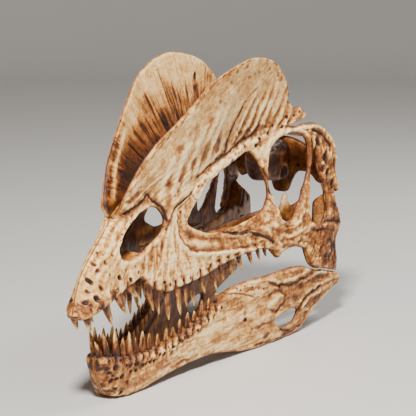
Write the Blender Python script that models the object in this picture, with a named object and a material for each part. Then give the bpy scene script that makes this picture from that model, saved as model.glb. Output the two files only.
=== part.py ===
"""Life-size skull of a two-crested theropod dinosaur (Dilophosaurus), standing on its own lower jaw.

Every bone is an object of its own. All design sizes are millimetres in skull coordinates:
  y  along the skull, 0 at the snout's tip and growing towards the neck
  z  up, 0 at the surface that the lower jaw stands on
  x  out to the animal's left, 0 on the midline
The bones of the two side walls share named seams (sutures and the rims of the openings), drawn in the (y, z)
plane, and are then bent to the skull's widths. The right side mirrors the left.
"""

import math

import bmesh
import bpy
import numpy as np
from mathutils import Matrix, Vector

MM = 0.001
LENGTH = 600.0
SEAM_GAP = 0.4
BONE_COLOUR = (0.66, 0.53, 0.36)
BONE_ROUGHNESS = 0.6

# Widths of the side walls: half width of the outer face along the tooth rows and along the brow.
CHEEK_Y = (0, 25, 60, 100, 127, 155, 200, 300, 400, 480, 560, 605)
CHEEK_X = (19, 21, 23, 26, 27, 33, 42, 58, 74, 88, 100, 103)
BROW_Y = (0, 60, 95, 150, 200, 260, 330, 400, 480, 540, 605)
BROW_X = (8, 13, 17, 23, 31, 36, 41, 47, 60, 76, 88)
CHEEK_LINE_Y = (0, 127, 185, 330, 460, 520, 605)
CHEEK_LINE_Z = (128, 150, 132, 146, 146, 110, 80)
BROW_LINE_Y = (0, 42, 72, 95, 150, 200, 260, 330, 390, 480, 550, 605)
BROW_LINE_Z = (130, 200, 224, 246, 262, 262, 273, 295, 306, 316, 313, 270)
FLARE_Y = (95, 124, 207, 262, 331, 400, 444, 480, 540)
FLARE = (0.15, 0.17, 0.19, 0.215, 0.24, 0.21, 0.15, 0.06, 0.0)
WALL_THICKNESS = 10.0
TOOTH_MARGIN_THICKNESS = 13.0
TOOTH_MARGIN_HEIGHT = 38.0
CREST_THICKNESS = 5.5
CREST_TAPER_HEIGHT = 45.0
QUADRATE_THICKNESS = 13.0
QUADRATE_FLANGE = 25.0
QUADRATE_CONDYLE = 15.0

# Rounding of the snout and of the chin, behind their front profiles.
SNOUT_Z = (118, 130, 148, 165, 182, 200, 224, 243, 262)
SNOUT_Y = (6, 0, 6, 13, 23, 42, 72, 92, 97)
SNOUT_ROUND = 36.0
CHIN_Z = (0, 4, 14, 30, 45, 58, 66)
CHIN_Y = (84, 74, 64, 55, 50, 49, 52)
CHIN_ROUND = 32.0
TIP_HALF_WIDTH = 4.0

# Lower jaw: half width of its outer face, and the hollow between its two branches.
JAW_Y = (40, 70, 100, 150, 250, 350, 450, 520, 600)
JAW_X = (20, 23, 27, 35, 52, 70, 86, 94, 99)
JAW_LOW_Y = (84, 118, 171, 230, 283, 375, 455, 496, 528, 595)
JAW_LOW_Z = (0, 0, 8, 15, 13, 0, 0, 9, 32, 50)
JAW_KEEL_HEIGHT = 26.0
JAW_KEEL_DEPTH = 2.0
SYMPHYSIS_Y = (92, 116)
JAW_THICKNESS_Y = (100, 300, 400, 600)
JAW_THICKNESS = (14, 13, 10, 11)

ROOF_Y = (96, 125, 150, 200, 260, 330, 400, 480, 530, 560, 598)
ROOF_Z = (252, 260, 269, 268, 275, 293, 303, 309, 309, 303, 286)
ROOF_THICKNESS = 5.0

RIM_WIDTH = 8.0
RIM_DROP = 1.7
LEAST_THICKNESS = 1.2

CUTS_Y = tuple(range(30, 600, 38))
CUTS_Z = tuple(range(28, 430, 34))

# Seams of the cranium's left wall, as (y, z).
SEAMS = {
    "snout_front": [(0, 130), (6, 148), (13, 165), (23, 182), (42, 200), (72, 224), (92, 243)],
    "crest_front": [(92, 243), (97, 262), (104, 277), (124, 307), (140, 324), (161, 341), (184, 357),
                    (207, 373), (242, 399), (264, 412), (293, 422), (318, 428), (345, 433), (372, 432),
                    (400, 427), (428, 420)],
    "crest_back": [(428, 420), (446, 411), (460, 401), (471, 391), (480, 379), (484, 368), (482, 356)],
    "finger": [(482, 356), (493, 349), (498, 341), (508, 344), (517, 340), (525, 332), (518, 323),
               (500, 319.5), (482, 316)],
    "premaxilla_teeth": [(129, 158), (96, 151), (68, 139), (48, 135), (12, 125), (0, 130)],
    "subnarial": [(129, 158), (135, 168), (131, 180), (133, 191)],
    "naris_low": [(133, 191), (152, 200), (168, 208), (177, 216)],
    "naris_back": [(177, 216), (181, 228), (176, 238), (168, 245), (158, 248)],
    "naris_top": [(158, 248), (145, 246), (130, 242), (117, 235), (104, 226), (93, 213), (86, 200),
                  (90, 191), (107, 187), (122, 188), (133, 191)],
    "premaxilla_nasal": [(158, 248), (154, 257), (149, 263), (137, 258), (125, 252), (104, 245), (92, 243)],
    "maxilla_nasal": [(177, 216), (186, 222), (198, 236), (218, 244), (240, 252)],
    "maxilla_lacrimal": [(240, 252), (248, 243), (257, 242)],
    "antorbital_front": [(257, 242), (240, 228), (230, 216), (236, 208), (252, 200), (273, 192), (302, 189)],
    "maxilla_jugal": [(302, 189), (315, 183), (330, 179), (365, 177), (385, 171), (403, 163), (414, 153),
                      (414, 141)],
    "maxilla_teeth": [(414, 141), (386, 148), (353, 147), (326, 146), (291, 142), (265, 136), (234, 132),
                      (204, 129), (181, 127), (163, 131), (148, 140), (137, 152), (129, 158)],
    "jugal_low": [(414, 141), (421, 132), (429, 126), (437, 131), (448, 135), (470, 136), (497, 128)],
    "jugal_quadratojugal": [(497, 128), (504, 138), (514, 146), (522, 154), (526, 160)],
    "temporal_low": [(526, 160), (517, 168), (513, 180), (513, 200), (517, 215)],
    "jugal_postorbital": [(517, 215), (508, 213), (500, 217)],
    "orbit_low": [(500, 217), (490, 203), (480, 192), (467, 181), (455, 177), (443, 180), (436, 190),
                  (430, 204)],
    "lacrimal_jugal": [(430, 204), (422, 206), (416, 213), (411, 219)],
    "antorbital_low": [(411, 219), (403, 209), (392, 202), (376, 198), (359, 195), (330, 191), (302, 189)],
    "antorbital_top": [(411, 219), (415, 229), (416, 241), (414, 252), (409, 264), (401, 279), (393, 288),
                       (384, 291), (365, 287), (345, 281), (327, 276), (303, 268), (281, 259), (257, 242)],
    "lacrimal_nasal": [(240, 252), (250, 262), (262, 272), (280, 279), (298, 287), (311, 291), (323, 296)],
    "crest_seam": [(323, 296), (327, 313), (331, 330), (340, 349), (351, 364), (364, 374), (380, 383),
                   (397, 394), (411, 406), (428, 420)],
    "orbit_front": [(430, 204), (425, 216), (421, 228), (420, 240), (422, 254), (427, 270), (434, 283),
                    (445, 292), (458, 298), (472, 302)],
    "lacrimal_postorbital": [(472, 302), (478, 309), (482, 316)],
    "orbit_back": [(472, 302), (488, 305), (503, 304), (516, 299), (524, 290), (526, 278), (524, 262),
                   (520, 246), (511, 230), (500, 217)],
    "postorbital_top": [(482, 316), (500, 313), (520, 316), (540, 316), (552, 313)],
    "postorbital_squamosal": [(552, 313), (548, 302), (543, 290)],
    "temporal_front": [(543, 290), (535, 272), (528, 254), (523, 238), (519, 225), (517, 215)],
    "temporal_back": [(543, 290), (543, 276), (543, 262), (545, 244), (549, 232), (553, 222)],
    "squamosal_quadratojugal": [(553, 222), (564, 214), (574, 212), (584, 211)],
    "squamosal_back": [(552, 313), (564, 308), (577, 300), (590, 287), (598, 272), (600, 257), (596, 240),
                       (597, 222), (599, 208), (595, 200), (591, 203), (588, 208), (584, 211)],
    "temporal_floor": [(553, 222), (557, 205), (558, 185), (556, 170), (549, 161), (538, 157), (526, 160)],
    "quadratojugal_quadrate": [(584, 211), (578, 190), (573, 165), (567, 140), (560, 118), (550, 103),
                               (543, 88.5)],
    "quadratojugal_low": [(497, 128), (503, 115), (509, 103), (518, 94), (530, 90), (543, 88.5)],
    "quadrate_back": [(584, 211), (584, 198), (587, 184), (592, 172), (597, 160), (598, 149), (592, 139),
                      (584, 131), (582, 118), (585, 104), (587, 90), (584, 76)],
    "quadrate_low": [(543, 88.5), (562, 82), (584, 76)],
}

# Each wall bone's outline, as seams in order. A minus sign takes the seam backwards.
WALL_BONES = {
    "premaxilla": "snout_front -premaxilla_nasal naris_top -subnarial premaxilla_teeth",
    "maxilla": "subnarial naris_low maxilla_nasal maxilla_lacrimal antorbital_front maxilla_jugal"
               " maxilla_teeth",
    "nasal_crest": "crest_front -crest_seam -lacrimal_nasal -maxilla_nasal naris_back premaxilla_nasal",
    "lacrimal_crest": "crest_back finger -lacrimal_postorbital -orbit_front lacrimal_jugal antorbital_top"
                      " -maxilla_lacrimal lacrimal_nasal crest_seam",
    "jugal": "-maxilla_jugal -antorbital_low -lacrimal_jugal -orbit_low -jugal_postorbital -temporal_low"
             " -jugal_quadratojugal -jugal_low",
    "postorbital": "lacrimal_postorbital postorbital_top postorbital_squamosal temporal_front"
                   " jugal_postorbital -orbit_back",
    "squamosal": "squamosal_back -squamosal_quadratojugal -temporal_back -postorbital_squamosal",
    "quadratojugal": "jugal_quadratojugal -temporal_floor squamosal_quadratojugal quadratojugal_quadrate"
                     " -quadratojugal_low",
    "quadrate": "quadrate_back -quadrate_low -quadratojugal_quadrate",
}

# Seams of the lower jaw's left branch, as (y, z).
JAW_SEAMS = {
    "chin": [(54, 66), (49, 58), (50, 45), (55, 30), (64, 14), (74, 4), (84, 0)],
    "dentary_low": [(84, 0), (118, 0), (132, 1.5), (146, 4), (171, 8.5), (201, 12.5), (231, 15), (262, 15),
                    (283, 13.5), (306, 9.5), (329, 5), (352, 1), (375, 0)],
    "dentary_angular": [(375, 0), (388, 5), (397, 14), (404, 26), (411, 36)],
    "dentary_surangular": [(411, 36), (409, 48), (398, 54), (386, 62), (374, 73), (359, 82), (344, 88),
                           (330, 93), (314, 97), (301, 100)],
    "dentary_teeth": [(301, 100), (293, 97), (284, 92), (272, 86), (262, 81), (247, 76), (232, 71), (201, 63),
                      (172, 57), (143, 54), (115, 55), (90, 58), (68, 63), (54, 66)],
    "surangular_top": [(301, 100), (317, 105), (334, 107), (352, 108), (386, 107), (425, 108), (462, 107),
                       (488, 103), (505, 96), (518, 92), (530, 88), (543, 86), (562, 80), (584, 74),
                       (600, 66)],
    "jaw_end_high": [(600, 66), (600, 58)],
    "surangular_angular": [(600, 58), (579, 61), (560, 62), (540, 61), (515, 56), (498, 55), (488, 52),
                           (480, 45), (474, 36)],
    "fenestra_top": [(474, 36), (466, 41), (452, 42), (432, 39), (411, 36)],
    "fenestra_low": [(474, 36), (472, 29), (464, 22), (448, 18), (430, 20), (418, 27), (411, 36)],
    "angular_low": [(375, 0), (402, 0), (427, 0), (455, 0), (470, 1), (482, 3), (496, 9), (510, 19),
                    (528, 32), (550, 40), (574, 45), (595, 50)],
    "jaw_end_low": [(600, 58), (595, 50)],
}

JAW_BONES = {
    "dentary": "chin dentary_low dentary_angular dentary_surangular dentary_teeth",
    "surangular": "surangular_top jaw_end_high surangular_angular fenestra_top dentary_surangular",
    "angular": "angular_low -jaw_end_low surangular_angular fenestra_low -dentary_angular",
}

# Teeth from front to back: place along the jaw, crown length, lean towards the throat in degrees, and width.
PREMAXILLA_TEETH = {"at": (20, 56, 83, 106), "long": (25, 40, 42, 36), "lean": (24, 33, 37, 46),
                    "wide": (9.5, 11.5, 12, 10.5)}
MAXILLA_TEETH = {"at": (147, 163, 183, 203, 218, 233, 255, 278, 298, 318, 340, 364, 384, 401),
                 "long": (42, 36, 44, 45, 38, 41, 31, 40, 30, 31, 29, 25, 20, 14),
                 "lean": (20, 12, 9, 11, 12, 13, 22, 25, 27, 29, 28, 26, 26, 26),
                 "wide": (10, 9, 10.5, 10.5, 9, 10, 9, 9.5, 8.5, 8.5, 8, 7.5, 7, 6)}
DENTARY_TEETH = {"at": (55, 65, 77, 90, 103, 116, 129, 143, 160, 177, 191, 205, 221, 236, 251, 267, 283),
                 "long": (24, 35, 36, 25, 32, 22, 28, 22, 16, 17, 14, 18, 20, 15, 22, 16, 12),
                 "lean": (-22, -14, -3, 0, 2, 2, 4, 5, 6, 6, 8, 8, 9, 9, 10, 11, 12),
                 "wide": (8, 9.5, 10, 8.5, 10, 8, 9.5, 8.5, 7.5, 8, 7, 8, 8, 7, 8, 7, 6.5)}
TOOTH_ROOT = 9.0
TOOTH_FLATNESS = 0.78
TOOTH_SIDES = 6
TOOTH_SWELL = 1.28
TOOTH_BOW = 0.045
TOOTH_TIP = 0.09
TOOTH_DEPTH_IN_BONE = 6.3

# Middle bones, as half outlines: (x, y) seen from above, (x, z) seen from behind.
PALATE_INSET = 17.0
PALATINE_Z = 168.0
PALATINE_RISE = 10.0
PALATINE_THICKNESS = 5.5
BRAINCASE = {"front": 482, "back": 577, "low": 216, "high": 284, "half_width": 23,
             "front_width": 0.7, "front_height": 0.75, "front_rise": 8, "edge": 9}
OCCIPUT_Y = (578, 589)
OCCIPUT_SWEEP = 6.0
OCCIPUT_HALF = [(0, 284), (24, 281), (44, 272), (64, 257), (78.8, 241), (79.6, 224), (72, 213), (62, 216),
                (48, 228), (30, 228), (20, 214), (12, 196), (0, 193)]
FORAMEN_Z = 250.0
FORAMEN_RADIUS = 10.5
CONDYLE_Z = 229.0
CONDYLE_RADIUS = 10.0
CONDYLE_Y = 588.0
VOMER_Z = (170, 177)
PTERYGOID_OUTLINE = [(303, 168), (360, 171), (420, 164), (456, 146), (484, 150), (505, 164), (530, 158),
                     (558, 138), (564, 160), (562, 188), (538, 184), (529, 203), (519, 201), (508, 182),
                     (470, 188), (400, 184), (350, 181), (303, 178)]
PTERYGOID_Y = (303, 400, 470, 530, 564)
PTERYGOID_X = (12, 17, 30, 40, 50)
PTERYGOID_THICKNESS = 6.0


def smooth_curve(at, stations, values):
    """Values at stations joined by one smooth curve, a cubic Hermite with slopes from the neighbours."""
    x = np.asarray(stations, float)
    y = np.asarray(values, float)
    slope = np.gradient(y, x)
    t = np.clip(np.asarray(at, float), x[0], x[-1])
    i = np.clip(np.searchsorted(x, t, side="right") - 1, 0, len(x) - 2)
    width = x[i + 1] - x[i]
    s = (t - x[i]) / width
    rise = y[i] * (2 * s**3 - 3 * s**2 + 1) + y[i + 1] * (3 * s**2 - 2 * s**3)
    return rise + width * (slope[i] * (s**3 - 2 * s**2 + s) + slope[i + 1] * (s**3 - s**2))


def smooth_step(t, low, high):
    s = np.clip((np.asarray(t, float) - low) / (high - low), 0, 1)
    return s * s * (3 - 2 * s)


def front_round(y, z, profile_z, profile_y, reach):
    """How much of its full width a snout keeps at (y, z), from 0 on its front profile to 1 reach behind."""
    behind = np.asarray(y, float) - smooth_curve(z, profile_z, profile_y)
    share = np.clip(behind / reach, 0.0, 1.0)
    return np.sqrt(1 - (1 - share) ** 2)


def wall_outer(y, z):
    """Outer face of the cranium's side wall and of the crest above it."""
    cheek = smooth_curve(y, CHEEK_Y, CHEEK_X)
    brow = smooth_curve(y, BROW_Y, BROW_X)
    low = smooth_curve(y, CHEEK_LINE_Y, CHEEK_LINE_Z)
    high = smooth_curve(y, BROW_LINE_Y, BROW_LINE_Z)
    share = np.clip((z - low) / (high - low), 0, 1)
    wall = cheek + (brow - cheek) * share**1.5
    above = np.clip(z - high, 0, None)
    wall = wall + smooth_curve(y, FLARE_Y, FLARE) * above
    rounded = front_round(y, z, SNOUT_Z, SNOUT_Y, SNOUT_ROUND)
    blunt = smooth_step(z, 232, 258)
    return np.maximum(wall * (rounded + (1 - rounded) * blunt), TIP_HALF_WIDTH)


def wall_inner(y, z):
    """Inner face of the side wall: thick at the tooth margins, thinning up the crest."""
    low = smooth_curve(y, CHEEK_LINE_Y, CHEEK_LINE_Z)
    high = smooth_curve(y, BROW_LINE_Y, BROW_LINE_Z)
    margin = 1 - smooth_step(z - low, 0, TOOTH_MARGIN_HEIGHT)
    thick = WALL_THICKNESS + (TOOTH_MARGIN_THICKNESS - WALL_THICKNESS) * margin
    taper = np.clip((z - high) / CREST_TAPER_HEIGHT, 0, 1)
    inner = wall_outer(y, z) - thick + (WALL_THICKNESS - CREST_THICKNESS) * taper
    return np.maximum(inner, SEAM_GAP / 2)


def midline(y, z):
    return np.full_like(np.asarray(y, float), SEAM_GAP / 2)


def quadrate_inner(y, z):
    """The quadrate is a pillar with a broad condyle below and a flange towards the palate above it."""
    flange = smooth_step(z, 105, 140) * (1 - smooth_step(z, 180, 208))
    condyle = 1 - smooth_step(z, 80, 112)
    return wall_outer(y, z) - QUADRATE_THICKNESS - QUADRATE_FLANGE * flange - QUADRATE_CONDYLE * condyle


def jaw_outer(y, z):
    keel = 1 - smooth_step(z - smooth_curve(y, JAW_LOW_Y, JAW_LOW_Z), 0, JAW_KEEL_HEIGHT)
    full = smooth_curve(y, JAW_Y, JAW_X) - JAW_KEEL_DEPTH * keel
    return np.maximum(full * front_round(y, z, CHIN_Z, CHIN_Y, CHIN_ROUND), TIP_HALF_WIDTH)


def jaw_inner(y, z):
    """The two branches meet at the symphysis, and part behind it."""
    apart = jaw_outer(y, z) - smooth_curve(y, JAW_THICKNESS_Y, JAW_THICKNESS)
    joined = 1 - smooth_step(y, *SYMPHYSIS_Y)
    return np.maximum(apart * (1 - joined), SEAM_GAP / 2)


def chain(seams, order):
    """The closed outline that runs along the named seams."""
    points = []
    for name in order.split():
        seam = seams[name.lstrip("-")]
        points += (seam[::-1] if name.startswith("-") else seam)[:-1]
    return points


def signed_area(points):
    p = np.array(points, float)
    q = np.roll(p, -1, axis=0)
    return float((p[:, 0] * q[:, 1] - q[:, 0] * p[:, 1]).sum() / 2)


def inset(points, distance):
    """A closed outline drawn in by the distance, so that neighbours keep a thin gap."""
    p = np.array(points, float)
    if signed_area(points) < 0:
        p = p[::-1]
    ahead = np.roll(p, -1, axis=0) - p
    ahead /= np.linalg.norm(ahead, axis=1)[:, None]
    behind = np.roll(ahead, 1, axis=0)
    inward = np.stack([-(ahead + behind)[:, 1], (ahead + behind)[:, 0]], axis=1)
    inward /= np.linalg.norm(inward, axis=1)[:, None]
    lean = np.clip((inward[:, 0] * -ahead[:, 1]) + (inward[:, 1] * ahead[:, 0]), 0.45, 1)
    return p + inward * (distance / lean)[:, None]


def distance_to(outline, points):
    """Distance of each point to a closed outline."""
    a = np.asarray(outline, float)
    b = np.roll(a, -1, axis=0)
    best = np.full(len(points), np.inf)
    for start, end in zip(a, b):
        run = end - start
        t = np.clip(((points - start) @ run) / max(float(run @ run), 1e-9), 0, 1)
        best = np.minimum(best, np.linalg.norm(points - start - t[:, None] * run, axis=1))
    return best


def flat_mesh(name, outline):
    """A thin flat plate of this outline, from a filled and extruded 2D curve, in millimetres."""
    curve = bpy.data.curves.new(name, "CURVE")
    curve.dimensions = "2D"
    curve.fill_mode = "BOTH"
    curve.extrude = 1.0
    spline = curve.splines.new("POLY")
    spline.points.add(len(outline) - 1)
    for point, (u, v) in zip(spline.points, outline):
        point.co = (u, v, 0, 1)
    spline.use_cyclic_u = True
    obj = bpy.data.objects.new(name, curve)
    bpy.context.scene.collection.objects.link(obj)
    graph = bpy.context.evaluated_depsgraph_get()
    mesh = bpy.data.meshes.new_from_object(obj.evaluated_get(graph))
    bpy.data.objects.remove(obj)
    bpy.data.curves.remove(curve)
    return mesh


def face_outwards(bm):
    bmesh.ops.recalc_face_normals(bm, faces=bm.faces[:])
    if bm.calc_volume(signed=True) < 0:
        bmesh.ops.reverse_faces(bm, faces=bm.faces[:])


def plate(name, outline, low, high, lie, cuts_u=CUTS_Y, cuts_v=CUTS_Z, rim=(True, True)):
    """A plate of this outline whose two faces follow low(u, v) and high(u, v).

    lie says which axis each of (u, v, w) runs along: "yzx" for a side wall, "xyz" for a roof and "xzy"
    for the back of the skull. rim says whether the low and the high face draw in towards the outline.
    """
    mesh = flat_mesh(name, inset(outline, SEAM_GAP / 2))
    bm = bmesh.new()
    bm.from_mesh(mesh)
    bmesh.ops.remove_doubles(bm, verts=bm.verts[:], dist=0.01)
    bmesh.ops.dissolve_limit(bm, angle_limit=0.005, verts=bm.verts[:], edges=bm.edges[:])
    for axis, cuts in ((Vector((1, 0, 0)), cuts_u), (Vector((0, 1, 0)), cuts_v)):
        for cut in cuts:
            bmesh.ops.bisect_plane(bm, geom=bm.verts[:] + bm.edges[:] + bm.faces[:], dist=0.3,
                                   plane_co=axis * cut, plane_no=axis)
    bmesh.ops.triangulate(bm, faces=bm.faces[:])
    flat = np.array([v.co[:] for v in bm.verts])
    near = distance_to(inset(outline, SEAM_GAP / 2), flat[:, :2])
    drop = RIM_DROP * (1 - np.clip(near / RIM_WIDTH, 0, 1))
    u, v = flat[:, 0], flat[:, 1]
    upper = high(u, v) - drop * rim[1]
    lower = np.minimum(low(u, v) + drop * rim[0], upper - LEAST_THICKNESS)
    w = np.where(flat[:, 2] > 0, upper, lower)
    place = dict(zip(lie, (u, v, w)))
    for vert, x, y, z in zip(bm.verts, place["x"], place["y"], place["z"]):
        vert.co = (x, y, z)
    face_outwards(bm)
    bm.to_mesh(mesh)
    bm.free()
    return mesh


def tooth_row(row):
    """(y, crown length, lean, width) of each tooth of a row."""
    return zip(row["at"], row["long"], row["lean"], row["wide"])


def margin_height(seam, y):
    points = sorted(seam)
    return float(np.interp(y, [p[0] for p in points], [p[1] for p in points]))


def add_tooth(bm, root, length, lean, width, down):
    """One flattened, backward-curving crown with its root sunk in the bone, added to bm."""
    made = bmesh.ops.create_cone(bm, cap_ends=True, segments=TOOTH_SIDES, radius1=width / 2,
                                 radius2=width * TOOTH_TIP, depth=length + TOOTH_ROOT)
    verts = made["verts"]
    edges = {e for v in verts for e in v.link_edges}
    middle = bmesh.ops.bisect_plane(bm, geom=[*verts, *edges, *{f for v in verts for f in v.link_faces}],
                                    plane_co=(0, 0, 2), plane_no=(0, 0, 1))
    ring = [g for g in middle["geom_cut"] if isinstance(g, bmesh.types.BMVert)]
    for vert in ring:
        vert.co.x *= TOOTH_SWELL
        vert.co.y *= TOOTH_SWELL
        vert.co.y -= length * TOOTH_BOW
    turn = Matrix.Rotation(math.radians(-lean), 4, "X")
    flip = Matrix.Rotation(math.radians(180), 4, "Y") if down else Matrix.Identity(4)
    if down:
        turn = Matrix.Rotation(math.radians(lean), 4, "X")
    stand = Matrix.Translation((0, 0, (length + TOOTH_ROOT) / 2))
    flatten = Matrix.Diagonal((TOOTH_FLATNESS, 1, 1, 1))
    for vert in {*verts, *ring}:
        vert.co = Vector(root) + (turn @ flip @ stand @ flatten @ vert.co)


def teeth_mesh(name, row, seam, outer, down):
    """All the crowns of one bone in one mesh. They don't touch each other."""
    bm = bmesh.new()
    for y, length, lean, width in tooth_row(row):
        z = margin_height(seam, y)
        inside = TOOTH_ROOT * (1 if down else -1)
        x = max(float(outer(y - width / 2, z + inside / 2)) - TOOTH_DEPTH_IN_BONE, width / 2)
        lead = math.tan(math.radians(lean)) * TOOTH_ROOT
        add_tooth(bm, (x, y - lead, z + inside), length, lean, width, down)
    bmesh.ops.triangulate(bm, faces=bm.faces[:])
    face_outwards(bm)
    mesh = bpy.data.meshes.new(name)
    bm.to_mesh(mesh)
    bm.free()
    return mesh


def combined(mesh, other, operation):
    """The mesh after an exact Boolean with the other one."""
    body = bpy.data.objects.new("body", mesh)
    tool = bpy.data.objects.new("tool", other)
    for obj in (body, tool):
        bpy.context.scene.collection.objects.link(obj)
    modifier = body.modifiers.new("boolean", "BOOLEAN")
    modifier.operation = operation
    modifier.object = tool
    graph = bpy.context.evaluated_depsgraph_get()
    result = bpy.data.meshes.new_from_object(body.evaluated_get(graph))
    bpy.data.objects.remove(body)
    bpy.data.objects.remove(tool)
    return result


def bone_material():
    material = bpy.data.materials.new("fossil_bone")
    material.use_nodes = True
    shader = material.node_tree.nodes["Principled BSDF"]
    shader.inputs["Base Color"].default_value = (*BONE_COLOUR, 1)
    shader.inputs["Roughness"].default_value = BONE_ROUGHNESS
    shader.inputs["Metallic"].default_value = 0.0
    return material


class Skull:
    """Collects the finished bones in one collection, all with the same material."""

    def __init__(self):
        self.collection = bpy.data.collections.new("dinosaur_skull")
        bpy.context.scene.collection.children.link(self.collection)
        self.material = bone_material()

    def add(self, name, mesh):
        """Places a mesh made in millimetres of skull coordinates, with the skull's middle at y = 0.

        The jaw's flats, drawn in by half a gap, come to lie at z = 0.
        """
        mesh.name = name
        mesh.transform(Matrix.Scale(MM, 4) @ Matrix.Translation((0, -LENGTH / 2, -SEAM_GAP / 2)))
        mesh.materials.clear()
        mesh.materials.append(self.material)
        self.collection.objects.link(bpy.data.objects.new(name, mesh))

    def add_pair(self, name, mesh):
        """The left bone and its mirror image."""
        right = mesh.copy()
        right.transform(Matrix.Scale(-1, 4, (1, 0, 0)))
        right.flip_normals()
        self.add(name + "_L", mesh)
        self.add(name + "_R", right)


def build_walls(skull):
    """The bones of the side walls, with their teeth."""
    inner = {"premaxilla": midline, "quadrate": quadrate_inner}
    teeth = {"premaxilla": (PREMAXILLA_TEETH, SEAMS["premaxilla_teeth"]),
             "maxilla": (MAXILLA_TEETH, SEAMS["maxilla_teeth"])}
    for name, order in WALL_BONES.items():
        mesh = plate(name, chain(SEAMS, order), inner.get(name, wall_inner), wall_outer, "yzx",
                     rim=(name != "premaxilla", True))
        if name in teeth:
            row, seam = teeth[name]
            mesh = combined(mesh, teeth_mesh("teeth", row, seam, wall_outer, True), "UNION")
        skull.add_pair(name, mesh)


def build_jaw(skull):
    """The lower jaw: dentary with its teeth, surangular and angular round the jaw's own opening."""
    for name, order in JAW_BONES.items():
        mesh = plate(name, chain(JAW_SEAMS, order), jaw_inner, jaw_outer, "yzx",
                     rim=(name != "dentary", True))
        if name == "dentary":
            crowns = teeth_mesh("teeth", DENTARY_TEETH, JAW_SEAMS["dentary_teeth"], jaw_outer, False)
            mesh = combined(mesh, crowns, "UNION")
        skull.add_pair(name, mesh)


def roof_half_width(y):
    """Inner half width between the crests at the height of the skull's roof."""
    z = smooth_curve(y, ROOF_Y, ROOF_Z)
    return np.minimum(wall_inner(y, z), wall_inner(y, z - ROOF_THICKNESS)) - 0.9


def symmetric(half):
    """A closed outline from its right half, which starts and ends on the midline."""
    return list(half) + [(-x, other) for x, other in reversed(half) if x > 0]


def roof_plate(name, half):
    high = lambda x, y: smooth_curve(y, ROOF_Y, ROOF_Z)
    low = lambda x, y: smooth_curve(y, ROOF_Y, ROOF_Z) - ROOF_THICKNESS
    return plate(name, symmetric(half), low, high, "xyz", cuts_u=(0,), cuts_v=CUTS_Y, rim=(False, False))


def build_roof(skull):
    """The roof between the crests: nasals, frontals, and the parietals between the temporal openings."""
    nasal = [(0, 158)] + [(float(roof_half_width(y)), y) for y in range(160, 331, 34)] + [(0, 330)]
    skull.add("nasal_roof", roof_plate("nasal_roof", nasal))
    frontal = [(0, 331)] + [(float(roof_half_width(y)), y) for y in range(331, 532, 40)]
    frontal += [(34, 533), (22, 526), (12, 531), (0, 532)]
    skull.add("frontal", roof_plate("frontal", frontal))
    parietal = [(0, 533), (12, 532), (20, 529), (15, 545), (14, 560), (24, 574), (46, 580), (72.4, 578),
                (72.4, 586), (60, 592), (50, 597), (20, 597), (0, 595)]
    skull.add("parietal", roof_plate("parietal", parietal))


def build_braincase(skull):
    """The braincase hung under the roof, and the occiput with its wings, hole and condyle."""
    size = BRAINCASE
    bm = bmesh.new()
    bmesh.ops.create_cube(bm, size=1)
    middle = (size["front"] + size["back"]) / 2, (size["low"] + size["high"]) / 2
    for vert in bm.verts:
        front = vert.co.y < 0
        vert.co.x *= 2 * size["half_width"] * (size["front_width"] if front else 1.0)
        vert.co.z *= (size["high"] - size["low"]) * (size["front_height"] if front else 1.0)
        vert.co.z += size["front_rise"] if front else 0
        vert.co.y *= size["back"] - size["front"]
        vert.co += Vector((0, middle[0], middle[1]))
    bmesh.ops.bevel(bm, geom=bm.edges[:], offset=size["edge"], segments=2, affect="EDGES", profile=0.5)
    bmesh.ops.triangulate(bm, faces=bm.faces[:])
    mesh = bpy.data.meshes.new("braincase")
    bm.to_mesh(mesh)
    bm.free()
    skull.add("braincase", mesh)

    near = lambda x, z: np.full_like(x, OCCIPUT_Y[0] + SEAM_GAP)
    far = lambda x, z: OCCIPUT_Y[1] + OCCIPUT_SWEEP * smooth_step(np.abs(x), 30, 70)
    occiput = plate("occiput", symmetric(OCCIPUT_HALF), near, far, "xzy", cuts_u=(-50, -25, 0, 25, 50),
                    cuts_v=(), rim=(False, True))
    bm = bmesh.new()
    bmesh.ops.create_cone(bm, cap_ends=True, segments=12, radius1=FORAMEN_RADIUS, radius2=FORAMEN_RADIUS,
                          depth=60, matrix=Matrix.Translation((0, CONDYLE_Y, FORAMEN_Z))
                          @ Matrix.Rotation(math.radians(90), 4, "X"))
    hole = bpy.data.meshes.new("foramen_magnum")
    bm.to_mesh(hole)
    bm.free()
    occiput = combined(occiput, hole, "DIFFERENCE")
    bm = bmesh.new()
    bmesh.ops.create_uvsphere(bm, u_segments=12, v_segments=8, radius=CONDYLE_RADIUS,
                              matrix=Matrix.Translation((0, CONDYLE_Y, CONDYLE_Z)))
    condyle = bpy.data.meshes.new("condyle")
    bm.to_mesh(condyle)
    bm.free()
    skull.add("occiput", combined(occiput, condyle, "UNION"))


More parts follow.
